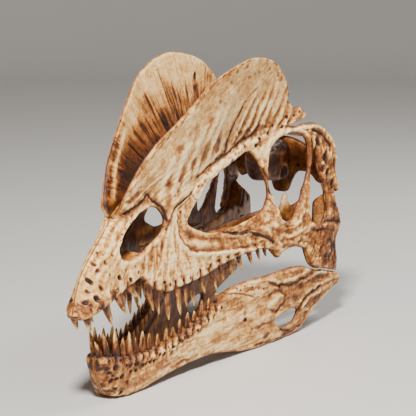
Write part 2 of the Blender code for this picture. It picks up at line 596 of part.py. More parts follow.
def build_palate(skull):
    """The roof of the mouth: one vomer, and a palatine and a pterygoid on each side."""
    flat = lambda level: (lambda x, y: np.full_like(x, level))
    vomer = [(0, 137), (6, 141), (9, 170), (9, 240), (10, 302), (0, 302)]
    skull.add("vomer", plate("vomer", symmetric(vomer), flat(VOMER_Z[0]), flat(VOMER_Z[1]), "xyz",
                             cuts_u=(0,), cuts_v=(), rim=(False, False)))
    rows = np.array((196, 240, 290, 340, 385), float)
    outer = smooth_curve(rows, CHEEK_Y, CHEEK_X) - PALATE_INSET
    palatine = [(12, 250), (20, 215)] + [(float(x), float(y)) for x, y in zip(outer, rows)]
    palatine += [(40, 392), (24, 372), (19, 330), (14, 302)]
    arch = lambda x, y: PALATINE_Z + PALATINE_RISE * smooth_step(-x, -50, -15)
    skull.add_pair("palatine", plate("palatine", palatine, arch, lambda x, y: arch(x, y) + PALATINE_THICKNESS,
                                     "xyz", cuts_u=(), cuts_v=CUTS_Y, rim=(False, False)))
    outer_face = lambda y, z: smooth_curve(y, PTERYGOID_Y, PTERYGOID_X)
    inner_face = lambda y, z: outer_face(y, z) - PTERYGOID_THICKNESS
    skull.add_pair("pterygoid", plate("pterygoid", PTERYGOID_OUTLINE, inner_face, outer_face, "yzx"))


def main():
    for obj in list(bpy.data.objects):
        bpy.data.objects.remove(obj)
    skull = Skull()
    build_walls(skull)
    build_jaw(skull)
    build_roof(skull)
    build_braincase(skull)
    build_palate(skull)


main()
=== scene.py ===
"""Fossil skull of a two-crested theropod (Dilophosaurus): the relief, teeth and stains of every bone.

Design sizes are millimetres in skull coordinates: y along the skull from the snout's tip, z up from the
floor, x out to the animal's left. The bones of the side walls are drawn in the (y, z) plane.
"""

import math

import bpy
import numpy as np
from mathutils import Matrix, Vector
from mathutils.geometry import delaunay_2d_cdt


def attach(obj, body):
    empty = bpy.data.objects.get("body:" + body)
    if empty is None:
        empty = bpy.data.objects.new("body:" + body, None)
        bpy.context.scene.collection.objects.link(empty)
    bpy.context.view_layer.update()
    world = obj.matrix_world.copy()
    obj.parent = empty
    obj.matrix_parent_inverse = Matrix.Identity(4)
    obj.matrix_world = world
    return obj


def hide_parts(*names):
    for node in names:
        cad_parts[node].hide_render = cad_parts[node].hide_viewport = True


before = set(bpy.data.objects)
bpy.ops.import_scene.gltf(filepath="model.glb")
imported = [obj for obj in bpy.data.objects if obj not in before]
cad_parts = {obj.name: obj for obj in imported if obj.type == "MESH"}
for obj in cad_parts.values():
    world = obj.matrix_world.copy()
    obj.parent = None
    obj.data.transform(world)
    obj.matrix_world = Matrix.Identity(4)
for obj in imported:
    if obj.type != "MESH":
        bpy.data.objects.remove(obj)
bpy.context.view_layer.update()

MM = 0.001
LENGTH = 600.0
GAP = 0.4                     # between neighbouring bones
SPACING = 1.35                # between the mesh points of a plate
LEAST_THICKNESS = 0.24
BOX_LIMITS = ((100.1, 4.0), (299.7, 0.4), (432.5, 1.5))  # x, y, z: farthest reach, eased over a last stretch

# Half widths along the cheek and the brow, the heights of those two lines, and how far the crests lean out.
CHEEK_Y = (0, 25, 60, 100, 127, 155, 200, 300, 400, 480, 560, 605)
CHEEK_X = (19, 21, 23, 26, 27, 33, 42, 58, 74, 88, 100, 103)
BROW_Y = (0, 60, 95, 150, 200, 260, 330, 400, 480, 540, 605)
BROW_X = (8, 13, 17, 23, 31, 36, 41, 47, 60, 76, 88)
CHEEK_LINE_Y = (0, 127, 185, 330, 460, 520, 605)
CHEEK_LINE_Z = (128, 150, 132, 146, 146, 110, 80)
BROW_LINE_Y = (0, 42, 72, 95, 150, 200, 260, 330, 390, 480, 550, 605)
BROW_LINE_Z = (130, 200, 224, 246, 262, 262, 273, 295, 306, 316, 313, 270)
FLARE_Y = (95, 124, 207, 262, 331, 400, 444, 480, 540)
FLARE = (0.15, 0.17, 0.19, 0.215, 0.24, 0.21, 0.15, 0.06, 0.0)
WALL_THICKNESS = 10.0
MARGIN_THICKENING, MARGIN_HEIGHT = 3.0, 38.0
CREST_THINNING, CREST_THINNING_HEIGHT = 4.5, 45.0
QUADRATE_THICKNESS, QUADRATE_FLANGE, QUADRATE_CONDYLE = 13.0, 25.0, 15.0
LEAST_HALF_WIDTH = 0.8

# The snout's and the chin's profile in side view, and the reach over which each rounds into the side.
SNOUT_Z = (118, 130, 148, 165, 182, 200, 224, 243, 262)
SNOUT_Y = (6, 0, 6, 13, 23, 42, 72, 92, 97)
SNOUT_ROUND = 36.0
CHIN_Z = (0, 4, 14, 30, 45, 58, 66)
CHIN_Y = (84, 74, 64, 55, 50, 49, 52)
CHIN_ROUND = 32.0

# The lower jaw's half width, lower edge and thickness, and the roof between the crests.
JAW_Y = (40, 70, 100, 150, 250, 350, 450, 520, 600)
JAW_X = (20, 23, 27, 35, 52, 70, 86, 94, 99)
JAW_LOW_Y = (84, 118, 171, 230, 283, 375, 455, 496, 528, 595)
JAW_LOW_Z = (0, 0, 8, 15, 13, 0, 0, 9, 32, 50)
JAW_KEEL, JAW_KEEL_HEIGHT = 2, 26
JAW_THICKNESS_Y, JAW_THICKNESS = (100, 300, 400, 600), (14, 13, 10, 11)
ROOF_Y = (96, 125, 150, 200, 260, 330, 400, 480, 530, 560, 598)
ROOF_Z = (252, 260, 269, 268, 275, 293, 303, 309, 309, 303, 286)
ROOF_THICKNESS, ROOF_CLEARANCE = 5, 0.9

# The bones at the back and in the palate.
FORAMEN_Z, FORAMEN_RADIUS = 250, 10.8
OCCIPUT_FRONT, OCCIPUT_BACK = 578.4, 588.6
CONDYLE, CONDYLE_RADII = (0, 588, 229), (10, 9, 9.4)
BRAINCASE_Y, BRAINCASE_LENGTH = 482.6, 94
BRAINCASE_HALF, BRAINCASE_LOW, BRAINCASE_HIGH = 22.3, 216.5, 283.5
EAR_Y, EAR_Z = 550, 233
VOMER_LOW, VOMER_HIGH = 170.3, 176.8

# The seams between bones and the bones' free edges, as (y, z) points that a smooth curve runs through.
SEAMS = {
    "snout_front": [(0, 130), (6, 148), (13, 165), (23, 182), (42, 200), (72, 224), (92, 243)],
    "crest_front": [(92, 243), (97, 262), (104, 277), (124, 307), (140, 324), (161, 341), (184, 357),
        (207, 373), (242, 399), (264, 412), (293, 422), (318, 428), (345, 433), (372, 432), (400, 427),
        (428, 420)],
    "crest_back": [(428, 420), (446, 411), (460, 401), (471, 391), (480, 379), (484, 368), (482, 356)],
    "finger": [(482, 356), (493, 349), (498, 341), (508, 344), (517, 340), (525, 332), (518, 323),
        (500, 319.5), (482, 316)],
    "premaxilla_teeth": [(129, 158), (96, 151), (68, 139), (48, 135), (12, 125), (0, 130)],
    "subnarial": [(129, 158), (135, 168), (131, 180), (133, 191)],
    "naris_low": [(133, 191), (152, 200), (168, 208), (177, 216)],
    "naris_back": [(177, 216), (181, 228), (176, 238), (168, 245), (158, 248)],
    "naris_top": [(158, 248), (145, 246), (130, 242), (117, 235), (104, 226), (93, 213), (86, 200),
        (90, 191), (107, 187), (122, 188), (133, 191)],
    "premaxilla_nasal": [(158, 248), (154, 257), (149, 263), (137, 258), (125, 252), (104, 245), (92, 243)],
    "maxilla_nasal": [(177, 216), (186, 222), (198, 236), (218, 244), (240, 252)],
    "maxilla_lacrimal": [(240, 252), (248, 243), (257, 242)],
    "antorbital_front": [(257, 242), (240, 228), (230, 216), (236, 208), (252, 200), (273, 192),
        (302, 189)],
    "maxilla_jugal": [(302, 189), (315, 183), (330, 179), (365, 177), (385, 171), (403, 163), (414, 153),
        (414, 141)],
    "maxilla_teeth": [(414, 141), (386, 148), (353, 147), (326, 146), (291, 142), (265, 136), (234, 132),
        (204, 129), (181, 127), (163, 131), (148, 140), (137, 152), (129, 158)],
    "jugal_low": [(414, 141), (421, 132), (429, 126), (437, 131), (448, 135), (470, 136), (497, 128)],
    "jugal_quadratojugal": [(497, 128), (504, 138), (514, 146), (522, 154), (526, 160)],
    "temporal_low": [(526, 160), (517, 168), (513, 180), (513, 200), (517, 215)],
    "jugal_postorbital": [(517, 215), (508, 213), (500, 217)],
    "orbit_low": [(500, 217), (490, 203), (480, 192), (467, 181), (455, 177), (443, 180), (436, 190),
        (430, 204)],
    "lacrimal_jugal": [(430, 204), (422, 206), (416, 213), (411, 219)],
    "antorbital_low": [(411, 219), (403, 209), (392, 202), (376, 198), (359, 195), (330, 191), (302, 189)],
    "antorbital_top": [(411, 219), (415, 229), (416, 241), (414, 252), (409, 264), (401, 279), (393, 288),
        (384, 291), (365, 287), (345, 281), (327, 276), (303, 268), (281, 259), (257, 242)],
    "lacrimal_nasal": [(240, 252), (250, 262), (262, 272), (280, 279), (298, 287), (311, 291), (323, 296)],
    "crest_seam": [(323, 296), (327, 313), (331, 330), (340, 349), (351, 364), (364, 374), (380, 383),
        (397, 394), (411, 406), (428, 420)],
    "orbit_front": [(430, 204), (425, 216), (421, 228), (420, 240), (422, 254), (427, 270), (434, 283),
        (445, 292), (458, 298), (472, 302)],
    "lacrimal_postorbital": [(472, 302), (478, 309), (482, 316)],
    "orbit_back": [(472, 302), (488, 305), (503, 304), (516, 299), (524, 290), (526, 278), (524, 262),
        (520, 246), (511, 230), (500, 217)],
    "postorbital_top": [(482, 316), (500, 313), (520, 316), (540, 316), (552, 313)],
    "postorbital_squamosal": [(552, 313), (548, 302), (543, 290)],
    "temporal_front": [(543, 290), (535, 272), (528, 254), (523, 238), (519, 225), (517, 215)],
    "temporal_back": [(543, 290), (543, 276), (543, 262), (545, 244), (549, 232), (553, 222)],
    "squamosal_quadratojugal": [(553, 222), (564, 214), (574, 212), (584, 211)],
    "squamosal_back": [(552, 313), (564, 308), (577, 300), (590, 287), (598, 272), (600, 257), (596, 240),
        (597, 222), (599, 208), (595, 200), (591, 203), (588, 208), (584, 211)],
    "temporal_floor": [(553, 222), (557, 205), (558, 185), (556, 170), (549, 161), (538, 157), (526, 160)],
    "quadratojugal_quadrate": [(584, 211), (578, 190), (573, 165), (567, 140), (560, 118), (550, 103),
        (543, 88.5)],
    "quadratojugal_low": [(497, 128), (503, 115), (509, 103), (518, 94), (530, 90), (543, 88.5)],
    "quadrate_back": [(584, 211), (584, 198), (587, 184), (592, 172), (597, 160), (598, 149), (592, 139),
        (584, 131), (582, 118), (585, 104), (587, 90), (584, 76)],
    "quadrate_low": [(543, 88.5), (562, 82), (584, 76)],
    "chin": [(54, 66), (49, 58), (50, 45), (55, 30), (64, 14), (74, 4), (84, 0)],
    "dentary_low": [(84, 0), (118, 0), (132, 1.5), (146, 4), (171, 8.5), (201, 12.5), (231, 15), (262, 15),
        (283, 13.5), (306, 9.5), (329, 5), (352, 1), (375, 0)],
    "dentary_angular": [(375, 0), (388, 5), (397, 14), (404, 26), (411, 36)],
    "dentary_surangular": [(411, 36), (409, 48), (398, 54), (386, 62), (374, 73), (359, 82), (344, 88),
        (330, 93), (314, 97), (301, 100)],
    "dentary_teeth": [(301, 100), (293, 97), (284, 92), (272, 86), (262, 81), (247, 76), (232, 71),
        (201, 63), (172, 57), (143, 54), (115, 55), (90, 58), (68, 63), (54, 66)],
    "surangular_top": [(301, 100), (317, 105), (334, 107), (352, 108), (386, 107), (425, 108), (462, 107),
        (488, 103), (505, 96), (518, 92), (530, 88), (543, 86), (562, 80), (584, 74), (600, 66)],
    "jaw_end_high": [(600, 66), (600, 58)],
    "surangular_angular": [(600, 58), (579, 61), (560, 62), (540, 61), (515, 56), (498, 55), (488, 52),
        (480, 45), (474, 36)],
    "fenestra_top": [(474, 36), (466, 41), (452, 42), (432, 39), (411, 36)],
    "fenestra_low": [(474, 36), (472, 29), (464, 22), (448, 18), (430, 20), (418, 27), (411, 36)],
    "angular_low": [(375, 0), (402, 0), (427, 0), (455, 0), (470, 1), (482, 3), (496, 9), (510, 19),
        (528, 32), (550, 40), (574, 45), (595, 50)],
    "jaw_end_low": [(600, 58), (595, 50)],
}

# Each bone's closed outline: the seams in turn, with - before one that is run backwards.
WALL_BONES = {
    "premaxilla": "snout_front -premaxilla_nasal naris_top -subnarial premaxilla_teeth",
    "maxilla": "subnarial naris_low maxilla_nasal maxilla_lacrimal antorbital_front maxilla_jugal"
               " maxilla_teeth",
    "nasal_crest": "crest_front -crest_seam -lacrimal_nasal -maxilla_nasal naris_back premaxilla_nasal",
    "lacrimal_crest": "crest_back finger -lacrimal_postorbital -orbit_front lacrimal_jugal antorbital_top"
                      " -maxilla_lacrimal lacrimal_nasal crest_seam",
    "jugal": "-maxilla_jugal -antorbital_low -lacrimal_jugal -orbit_low -jugal_postorbital -temporal_low"
             " -jugal_quadratojugal -jugal_low",
    "postorbital": "lacrimal_postorbital postorbital_top postorbital_squamosal temporal_front"
                   " jugal_postorbital -orbit_back",
    "squamosal": "squamosal_back -squamosal_quadratojugal -temporal_back -postorbital_squamosal",
    "quadratojugal": "jugal_quadratojugal -temporal_floor squamosal_quadratojugal quadratojugal_quadrate"
                     " -quadratojugal_low",
    "quadrate": "quadrate_back -quadrate_low -quadratojugal_quadrate",
}
JAW_BONES = {
    "dentary": "chin dentary_low dentary_angular dentary_surangular dentary_teeth",
    "surangular": "surangular_top jaw_end_high surangular_angular fenestra_top dentary_surangular",
    "angular": "angular_low -jaw_end_low surangular_angular fenestra_low -dentary_angular",
}

# How an edge is rounded, by seam: reach into the face and drop at the edge.
SUTURE_EDGE = (1.5, 0.55)
HOLE_EDGE = (3.5, 2.5)
OPEN_EDGE = (7.0, 4.6)
INNER_SHARE = {"crest_seam": 0.15, "lacrimal_nasal": 0.3}
EDGES = {
    "snout_front": (0.6, 0.1), "chin": (0.6, 0.1), "crest_front": (4.0, 2.3), "crest_back": (4.0, 2.3),
    "finger": (6.0, 3.6), "premaxilla_teeth": (4.5, 3.0), "maxilla_teeth": (4.5, 3.0),
    "dentary_teeth": (4.0, 2.6), "dentary_low": (9.0, 5.0), "angular_low": (8.0, 4.6),
    "surangular_top": (7.0, 4.6), "jaw_end_high": (5.0, 4.0), "jaw_end_low": (5.0, 4.0),
    "jugal_low": (7.0, 4.5), "squamosal_back": (8.0, 4.6), "quadrate_back": (7.0, 4.6),
    "quadrate_low": (6.0, 5.0), "quadratojugal_low": (6.0, 4.4), "postorbital_top": (7.0, 4.6),
    **{name: OPEN_EDGE for name in ("naris_low", "naris_back", "naris_top", "antorbital_front",
                                    "antorbital_low", "antorbital_top", "orbit_low", "orbit_front",
                                    "orbit_back", "temporal_low", "temporal_front", "temporal_back",
                                    "temporal_floor", "fenestra_top", "fenestra_low")},
}

# Tooth rows: place along the skull, crown length, lean in degrees and width of each tooth.
PREMAXILLA_TEETH = {"at": (20, 56, 83, 106), "long": (25, 40, 42, 36), "lean": (24, 33, 37, 46),
                    "wide": (9.5, 11.5, 12, 10.5)}
MAXILLA_TEETH = {"at": (147, 163, 183, 203, 218, 233, 255, 278, 298, 318, 340, 364, 384, 401),
                 "long": (42, 36, 44, 45, 38, 41, 31, 40, 30, 31, 29, 25, 20, 14),
                 "lean": (20, 12, 9, 11, 12, 13, 22, 25, 27, 29, 28, 26, 26, 26),
                 "wide": (10, 9, 10.5, 10.5, 9, 10, 9, 9.5, 8.5, 8.5, 8, 7.5, 7, 6)}
DENTARY_TEETH = {"at": (55, 65, 77, 90, 103, 116, 129, 143, 160, 177, 191, 205, 221, 236, 251, 267, 283),
                 "long": (24, 35, 36, 25, 32, 22, 28, 22, 16, 17, 14, 18, 20, 15, 22, 16, 12),
                 "lean": (-22, -14, -3, 0, 2, 2, 4, 5, 6, 6, 8, 8, 9, 9, 10, 11, 12),
                 "wide": (8, 9.5, 10, 8.5, 10, 8, 9.5, 8.5, 7.5, 8, 7, 8, 8, 7, 8, 7, 6.5)}
TOOTH_ROOT = 9.0
TOOTH_DEPTH_IN_BONE = 6.3
TOOTH_RINGS, TOOTH_SIDES = 30, 20
TOOTH_FLATNESS = 0.80


# ---------------------------------------------------------------- curves and noise

def smooth_curve(at, stations, values):
    """A smooth curve through values at stations, level past its ends."""
    x = np.asarray(stations, float)
    y = np.asarray(values, float)
    slope = np.gradient(y, x)
    t = np.clip(np.asarray(at, float), x[0], x[-1])
    i = np.clip(np.searchsorted(x, t, side="right") - 1, 0, len(x) - 2)
    width = x[i + 1] - x[i]
    s = (t - x[i]) / width
    rise = y[i] * (2 * s**3 - 3 * s**2 + 1) + y[i + 1] * (3 * s**2 - 2 * s**3)
    return rise + width * (slope[i] * (s**3 - 2 * s**2 + s) + slope[i + 1] * (s**3 - s**2))


def smooth_step(t, low, high):
    """0 below low and 1 above high, easing between them."""
    s = np.clip((np.asarray(t, float) - low) / (high - low), 0, 1)
    return s * s * (3 - 2 * s)


def between(t, rise_from, rise_to, fall_from, fall_to):
    """1 between two borders, easing to 0 past each."""
    return smooth_step(t, rise_from, rise_to) * (1 - smooth_step(t, fall_from, fall_to))


def bell(t, width):
    """1 at zero, falling off over a width on both sides."""
    return np.exp(-(np.asarray(t, float) / width) ** 2)


def flow(points, step=1.25):
    """A Catmull-Rom curve through the points, resampled at an even step."""
    p = np.asarray(points, float)
    if len(p) > 2:
        ends = np.vstack([2 * p[0] - p[1], p, 2 * p[-1] - p[-2]])
        fine = []
        for a, b, c, d in zip(ends[:-3], ends[1:-2], ends[2:-1], ends[3:]):
            for t in np.linspace(0, 1, 10, endpoint=False):
                fine.append(0.5 * (2 * b + (c - a) * t + (2 * a - 5 * b + 4 * c - d) * t**2
                                   + (3 * b - a - 3 * c + d) * t**3))
        p = np.vstack([fine, p[-1]])
    run = np.concatenate([[0], np.cumsum(np.linalg.norm(np.diff(p, axis=0), axis=1))])
    even = np.linspace(0, run[-1], max(2, int(round(run[-1] / step)) + 1))
    return np.stack([np.interp(even, run, p[:, k]) for k in range(p.shape[1])], axis=1)


def lattice(i, j, k, seed):
    """A fixed value from -1 to 1 for each whole-numbered point."""
    h = (i * 374761393 + j * 668265263 + k * 1274126177 + seed * 974634777) & 0xFFFFFFFF
    h = ((h ^ (h >> 13)) * 1274126177) & 0xFFFFFFFF
    h = ((h ^ (h >> 15)) * 2246822519) & 0xFFFFFFFF
    return ((h ^ (h >> 16)) & 0xFFFF) / 32767.5 - 1


def noise(a, b, c=0.0, seed=0):
    """Smooth value noise from about -1 to 1, with a unit lattice."""
    a, b, c = np.broadcast_arrays(np.asarray(a, float), np.asarray(b, float), np.asarray(c, float))
    cells = [np.floor(v).astype(np.int64) for v in (a, b, c)]
    f = [v - i for v, i in zip((a, b, c), cells)]
    f = [t * t * t * (t * (6 * t - 15) + 10) for t in f]
    total = 0.0
    for di in (0, 1):
        for dj in (0, 1):
            for dk in (0, 1):
                weight = (f[0] if di else 1 - f[0]) * (f[1] if dj else 1 - f[1]) * (f[2] if dk else 1 - f[2])
                total = total + weight * lattice(cells[0] + di, cells[1] + dj, cells[2] + dk, seed)
    return total


def fbm(a, b, size, octaves=3, c=0.0, seed=0):
    """Noise at several sizes laid over each other, from about -1 to 1."""
    total, gain = 0.0, 1.0
    for octave in range(octaves):
        k = 2**octave / size
        total = total + gain * noise(a * k, b * k, np.asarray(c) * k, seed + 17 * octave)
        gain *= 0.5
    return total / (2 - 2 * gain)


# ---------------------------------------------------------------- the skull's own surfaces

def front_round(y, z, profile_z, profile_y, reach):
    """Share of the full width, from 0 at the profile to 1 a reach behind it."""
    behind = np.asarray(y, float) - smooth_curve(z, profile_z, profile_y)
    share = np.clip(behind / reach, 0.0, 1.0)
    return np.sqrt(1 - (1 - share) ** 2)


def brow_line(y):
    """Height of the line from which the crests lean out."""
    return smooth_curve(y, BROW_LINE_Y, BROW_LINE_Z)


def wall_outer(y, z):
    """Half width of the cranium's outer face: cheek, brow, crest and rounded snout."""
    cheek = smooth_curve(y, CHEEK_Y, CHEEK_X)
    brow = smooth_curve(y, BROW_Y, BROW_X)
    low = smooth_curve(y, CHEEK_LINE_Y, CHEEK_LINE_Z)
    high = brow_line(y)
    wall = cheek + (brow - cheek) * np.clip((z - low) / (high - low), 0, 1) ** 1.5
    wall = wall + smooth_curve(y, FLARE_Y, FLARE) * np.clip(z - high, 0, None)
    rounded = front_round(y, z, SNOUT_Z, SNOUT_Y, SNOUT_ROUND)
    return np.maximum(wall * (rounded + (1 - rounded) * smooth_step(z, 232, 258)), LEAST_HALF_WIDTH)


def wall_inner(y, z):
    """Half width of the side walls' inner face."""
    low = smooth_curve(y, CHEEK_LINE_Y, CHEEK_LINE_Z)
    margin = 1 - smooth_step(z - low, 0, MARGIN_HEIGHT)
    thinner = CREST_THINNING * smooth_step(z - brow_line(y), 0, CREST_THINNING_HEIGHT)
    thick = WALL_THICKNESS + MARGIN_THICKENING * margin - thinner
    return np.maximum(wall_outer(y, z) - thick, GAP / 2)


def quadrate_inner(y, z):
    """The quadrate's inner face, with its flange and its joint at the foot."""
    flange = smooth_step(z, 105, 140) * (1 - smooth_step(z, 180, 208))
    condyle = 1 - smooth_step(z, 80, 112)
    return wall_outer(y, z) - QUADRATE_THICKNESS - QUADRATE_FLANGE * flange - QUADRATE_CONDYLE * condyle


def jaw_outer(y, z):
    """Half width of the lower jaw's outer face."""
    keel = 1 - smooth_step(z - smooth_curve(y, JAW_LOW_Y, JAW_LOW_Z), 0, JAW_KEEL_HEIGHT)
    full = smooth_curve(y, JAW_Y, JAW_X) - JAW_KEEL * keel
    return np.maximum(full * front_round(y, z, CHIN_Z, CHIN_Y, CHIN_ROUND), LEAST_HALF_WIDTH)


def jaw_inner(y, z):
    """Half width of the lower jaw's inner face, which meets the other half at the chin."""
    apart = jaw_outer(y, z) - smooth_curve(y, JAW_THICKNESS_Y, JAW_THICKNESS)
    return np.maximum(apart * smooth_step(y, 92, 116), GAP / 2)


def midline(y, z):
    """The plane in which the left bones meet the right ones."""
    return np.full_like(np.asarray(y, float), GAP / 2)


def roof_height(y):
    """Height of the roof between the crests."""
    return smooth_curve(y, ROOF_Y, ROOF_Z)


class Straight:
    """The plane that a bone is cut out in, as it is."""

    @staticmethod
    def flat(u, v):
        return np.asarray(u, float)

    @staticmethod
    def bent(s, v):
        return s


class Rounded:
    """A plane stretched along a rounded front, so that the mesh is even round the bend."""

    def __init__(self, profile_z, profile_y, reach):
        self.profile, self.reach = (profile_z, profile_y), reach

    def flat(self, u, v):
        front = smooth_curve(v, *self.profile)
        behind = np.clip(u - front, 0, None)
        share = np.clip(behind / self.reach, 0, 1)
        around = np.where(share < 1, self.reach * np.arccos(1 - share),
                          self.reach * (math.pi / 2 - 1) + behind)
        return front + around

    def bent(self, s, v):
        front = smooth_curve(v, *self.profile)
        around = np.clip(s - front, 0, None)
        turn = self.reach * math.pi / 2
        on_bend = self.reach * (1 - np.cos(np.minimum(around, turn) / self.reach))
        return front + np.where(around < turn, on_bend, around - turn + self.reach)


# ---------------------------------------------------------------- relief and stains

class Relief:
    """Height in mm and tone (0 pale bone, 1 nearly black) over points of a surface.

    tone is broad staining, and on the inner faces painted shade as well, which stays soft. ink is the dark
    core of pits and cracks, laid over it.
    """

    def __init__(self, y, z, wander=1.3, seed=0, soft=0.5):
        self.soft = soft
        self.y, self.z = (at + wander * noise(y / 10, z / 10, seed=seed + k)
                          + 0.5 * wander * noise(y / 3.6, z / 3.6, seed=seed + k + 1)
                          for k, at in ((1, y), (3, z)))
        self.vary = 0.72 + 0.55 * noise(y / 5.5, z / 5.5, seed=seed + 11)
        self.height = np.zeros(len(y))
        self.tone = np.zeros(len(y))
        self.ink = np.zeros(len(y))

    def finished_tone(self, hollow):
        """Stain with the dirt of hollows and the wear of ridges, held back where it is dark, and the ink."""
        tone = self.tone + 0.26 * np.clip(hollow, 0, None) + 0.22 * np.clip(hollow, None, 0)
        return tone - self.soft * np.clip(tone - 0.34, 0, None) + self.ink

    def roughen(self, broad, middle, small, seed):
        """Uneven bone at three sizes, stained a little in its hollows."""
        for amount, size, stain in ((broad, 38, 0.02), (middle, 13, 0.04), (small, 4.6, 0.10)):
            bumps = fbm(self.y, self.z, size, 3, seed=seed + int(size * 10))
            self.height += amount * bumps
            self.tone -= amount * stain * bumps

    def streaks(self, areas, width, seed, stretch=7):
        """Ribbed bone grain in areas of (y low, y high, z low, z high, angle, height, stain)."""
        for k, (y0, y1, z0, z1, angle, height, stain) in enumerate(areas):
            mask = (between(self.y, y0 - 7, y0 + 7, y1 - 7, y1 + 7)
                    * between(self.z, z0 - 7, z0 + 7, z1 - 7, z1 + 7))
            c, s = math.cos(math.radians(angle)), math.sin(math.radians(angle))
            grain = fbm((self.y * c + self.z * s) / stretch, self.z * c - self.y * s, width, 3, seed=seed + k)
            self.height += height * mask * grain
            self.tone -= 0.55 * stain * mask * grain

    def drift(self, amount, size, angle, stretch, seed):
        """Broad stain drawn out along a direction."""
        c, s = math.cos(math.radians(angle)), math.sin(math.radians(angle))
        along, across = self.y * c + self.z * s, self.z * c - self.y * s
        self.tone += amount * smooth_step(fbm(along / stretch, across, size, 4, seed=seed), -0.1, 0.5)

    def patches(self, size, low, high, seed, octaves=3):
        """Ragged patches, 0 outside to 1 inside."""
        return smooth_step(fbm(self.y, self.z, size, octaves, seed=seed), low, high)

    def mottle(self, amount, size, low, high, seed):
        self.tone += amount * self.patches(size, low, high, seed, octaves=4)

    def within(self, low, high):
        """Which points lie in a box."""
        return np.flatnonzero((self.y > low[0]) & (self.y < high[0]) & (self.z > low[1]) & (self.z < high[1]))

    def line(self, points, width, height, tone=0.0):
        """A ridge, or a groove where height is negative, along a smooth line."""
        path = flow(points, 3.0)
        sel = self.within(path.min(axis=0) - 3 * width, path.max(axis=0) + 3 * width)
        if not len(sel):
            return
        at = np.stack([self.y[sel], self.z[sel]], axis=1)
        best = np.full(len(sel), np.inf)
        for a, b in zip(path[:-1], path[1:]):
            run = b - a
            t = np.clip((at - a) @ run / max(run @ run, 1e-9), 0, 1)
            best = np.minimum(best, np.linalg.norm(at - a - t[:, None] * run, axis=1))
        vary = self.vary[sel]
        self.height[sel] += height * bell(best, width) * (0.6 + 0.4 * vary)
        if tone > 0:
            stain = tone * smooth_step(tone, -0.2, 0.6)
            self.tone[sel] += 0.3 * stain * bell(best, width * 2.8)
            self.ink[sel] += 0.92 * stain * (0.25 + 0.75 * vary) * bell(best, 0.6 * width)
        else:
            self.tone[sel] += tone * bell(best, width * 1.2)

    def pit(self, y, z, radius, depth, tone=0.6, long=1.0, turn=0.0, lip=0.2):
        """A dark hollow with a raised lip."""
        reach = radius * max(long, 1) * 2.6
        sel = self.within((y - reach, z - reach), (y + reach, z + reach))
        if not len(sel):
            return
        c, s = math.cos(math.radians(turn)), math.sin(math.radians(turn))
        dy, dz = self.y[sel] - y, self.z[sel] - z
        r = np.hypot((dy * c + dz * s) / long, dz * c - dy * s) / radius
        self.height[sel] += -depth * np.exp(-(r**3)) + lip * depth * bell(r - 1.45, 0.42)
        self.tone[sel] += 0.24 * tone * bell(r, 2.0) - 0.06 * bell(r - 1.5, 0.35)
        self.ink[sel] += 0.8 * tone * np.exp(-((r / 0.92) ** 4))

    def blotch(self, y, z, ry, rz, tone, turn=0.0, ragged=0.6, seed=40):
        """A stain with a ragged edge."""
        reach = 1.7 * max(ry, rz)
        sel = self.within((y - reach, z - reach), (y + reach, z + reach))
        if not len(sel):
            return
        c, s = math.cos(math.radians(turn)), math.sin(math.radians(turn))
        dy, dz = self.y[sel] - y, self.z[sel] - z
        r2 = ((dy * c + dz * s) / ry) ** 2 + ((dz * c - dy * s) / rz) ** 2
        edge = ragged * fbm(self.y[sel], self.z[sel], 9.0, 4, seed=seed)
        self.tone[sel] += tone * smooth_step(1 - r2 + edge, 0.0, 0.9)


def tooth_row(row):
    """(y, crown length, lean, width) of each tooth of a row."""
    return list(zip(row["at"], row["long"], row["lean"], row["wide"]))


def distance_to_curve(points, y, z):
    """Distance from each (y, z) to the smooth curve through the points."""
    curve = flow(points, 4.0)
    return distance_to(curve[:-1], curve[1:], np.stack([y, z], axis=1))


def margin_height(seam, y):
    """Height of a tooth row's margin along the skull."""
    points = sorted(SEAMS[seam])
    return np.interp(y, [p[0] for p in points], [p[1] for p in points])


def sockets(relief, row, seam, up):
    """Swellings over the tooth roots, and dark hollows between them along the margin."""
    placed = tooth_row(row)
    for y, _, _, wide in placed:
        z = float(margin_height(seam, y))
        relief.line([(y, z), (y - 2.5, z + up * 9), (y - 4, z + up * 17)], wide * 0.42, 1.7, -0.09)
        relief.line([(y - wide * 0.55, z + up * 1.0), (y + wide * 0.55, z + up * 1.0)], 1.3, -0.5, 0.4)
    for (y, *_), (y2, *_) in zip(placed[:-1], placed[1:]):
        mid = (y + y2) / 2
        z = float(margin_height(seam, mid))
        relief.line([(mid, z - up), (mid - 1, z + up * 8)], 1.8, -1.8, 0.72)


# Bone grain by bone, in areas of (y low, y high, z low, z high, angle, height, stain).
WALL_GRAIN = {
    "premaxilla": ((-20, 200, 100, 300, 51, 0.9, 0.06),),
    "maxilla": ((100, 208, 120, 236, 78, 1.2, 0.14), (208, 420, 120, 236, -7, 0.9, 0.14),
                (176, 300, 205, 300, 50, 0.8, 0.10)),
    "nasal_crest": ((80, 270, 200, 292, 30, 1.2, 0.14),),
    "lacrimal_crest": ((230, 430, 240, 310, 20, 0.9, 0.12), (395, 480, 190, 285, 95, 1.2, 0.14),
                       (425, 520, 285, 330, 12, 0.9, 0.12)),
    "jugal": ((290, 430, 100, 230, -9, 1.1, 0.16), (430, 540, 100, 178, 4, 1.4, 0.20),
              (430, 540, 178, 240, 60, 1.1, 0.14)),
    "postorbital": ((460, 570, 292, 330, 0, 1.2, 0.16), (490, 570, 200, 292, 76, 1.3, 0.16)),
    "squamosal": ((520, 620, 180, 330, 84, 1.8, 0.24),),
    "quadratojugal": ((480, 620, 60, 166, 62, 1.8, 0.24), (480, 620, 166, 230, 80, 1.4, 0.18)),
    "quadrate": ((540, 620, 60, 230, 86, 1.6, 0.22),),
}
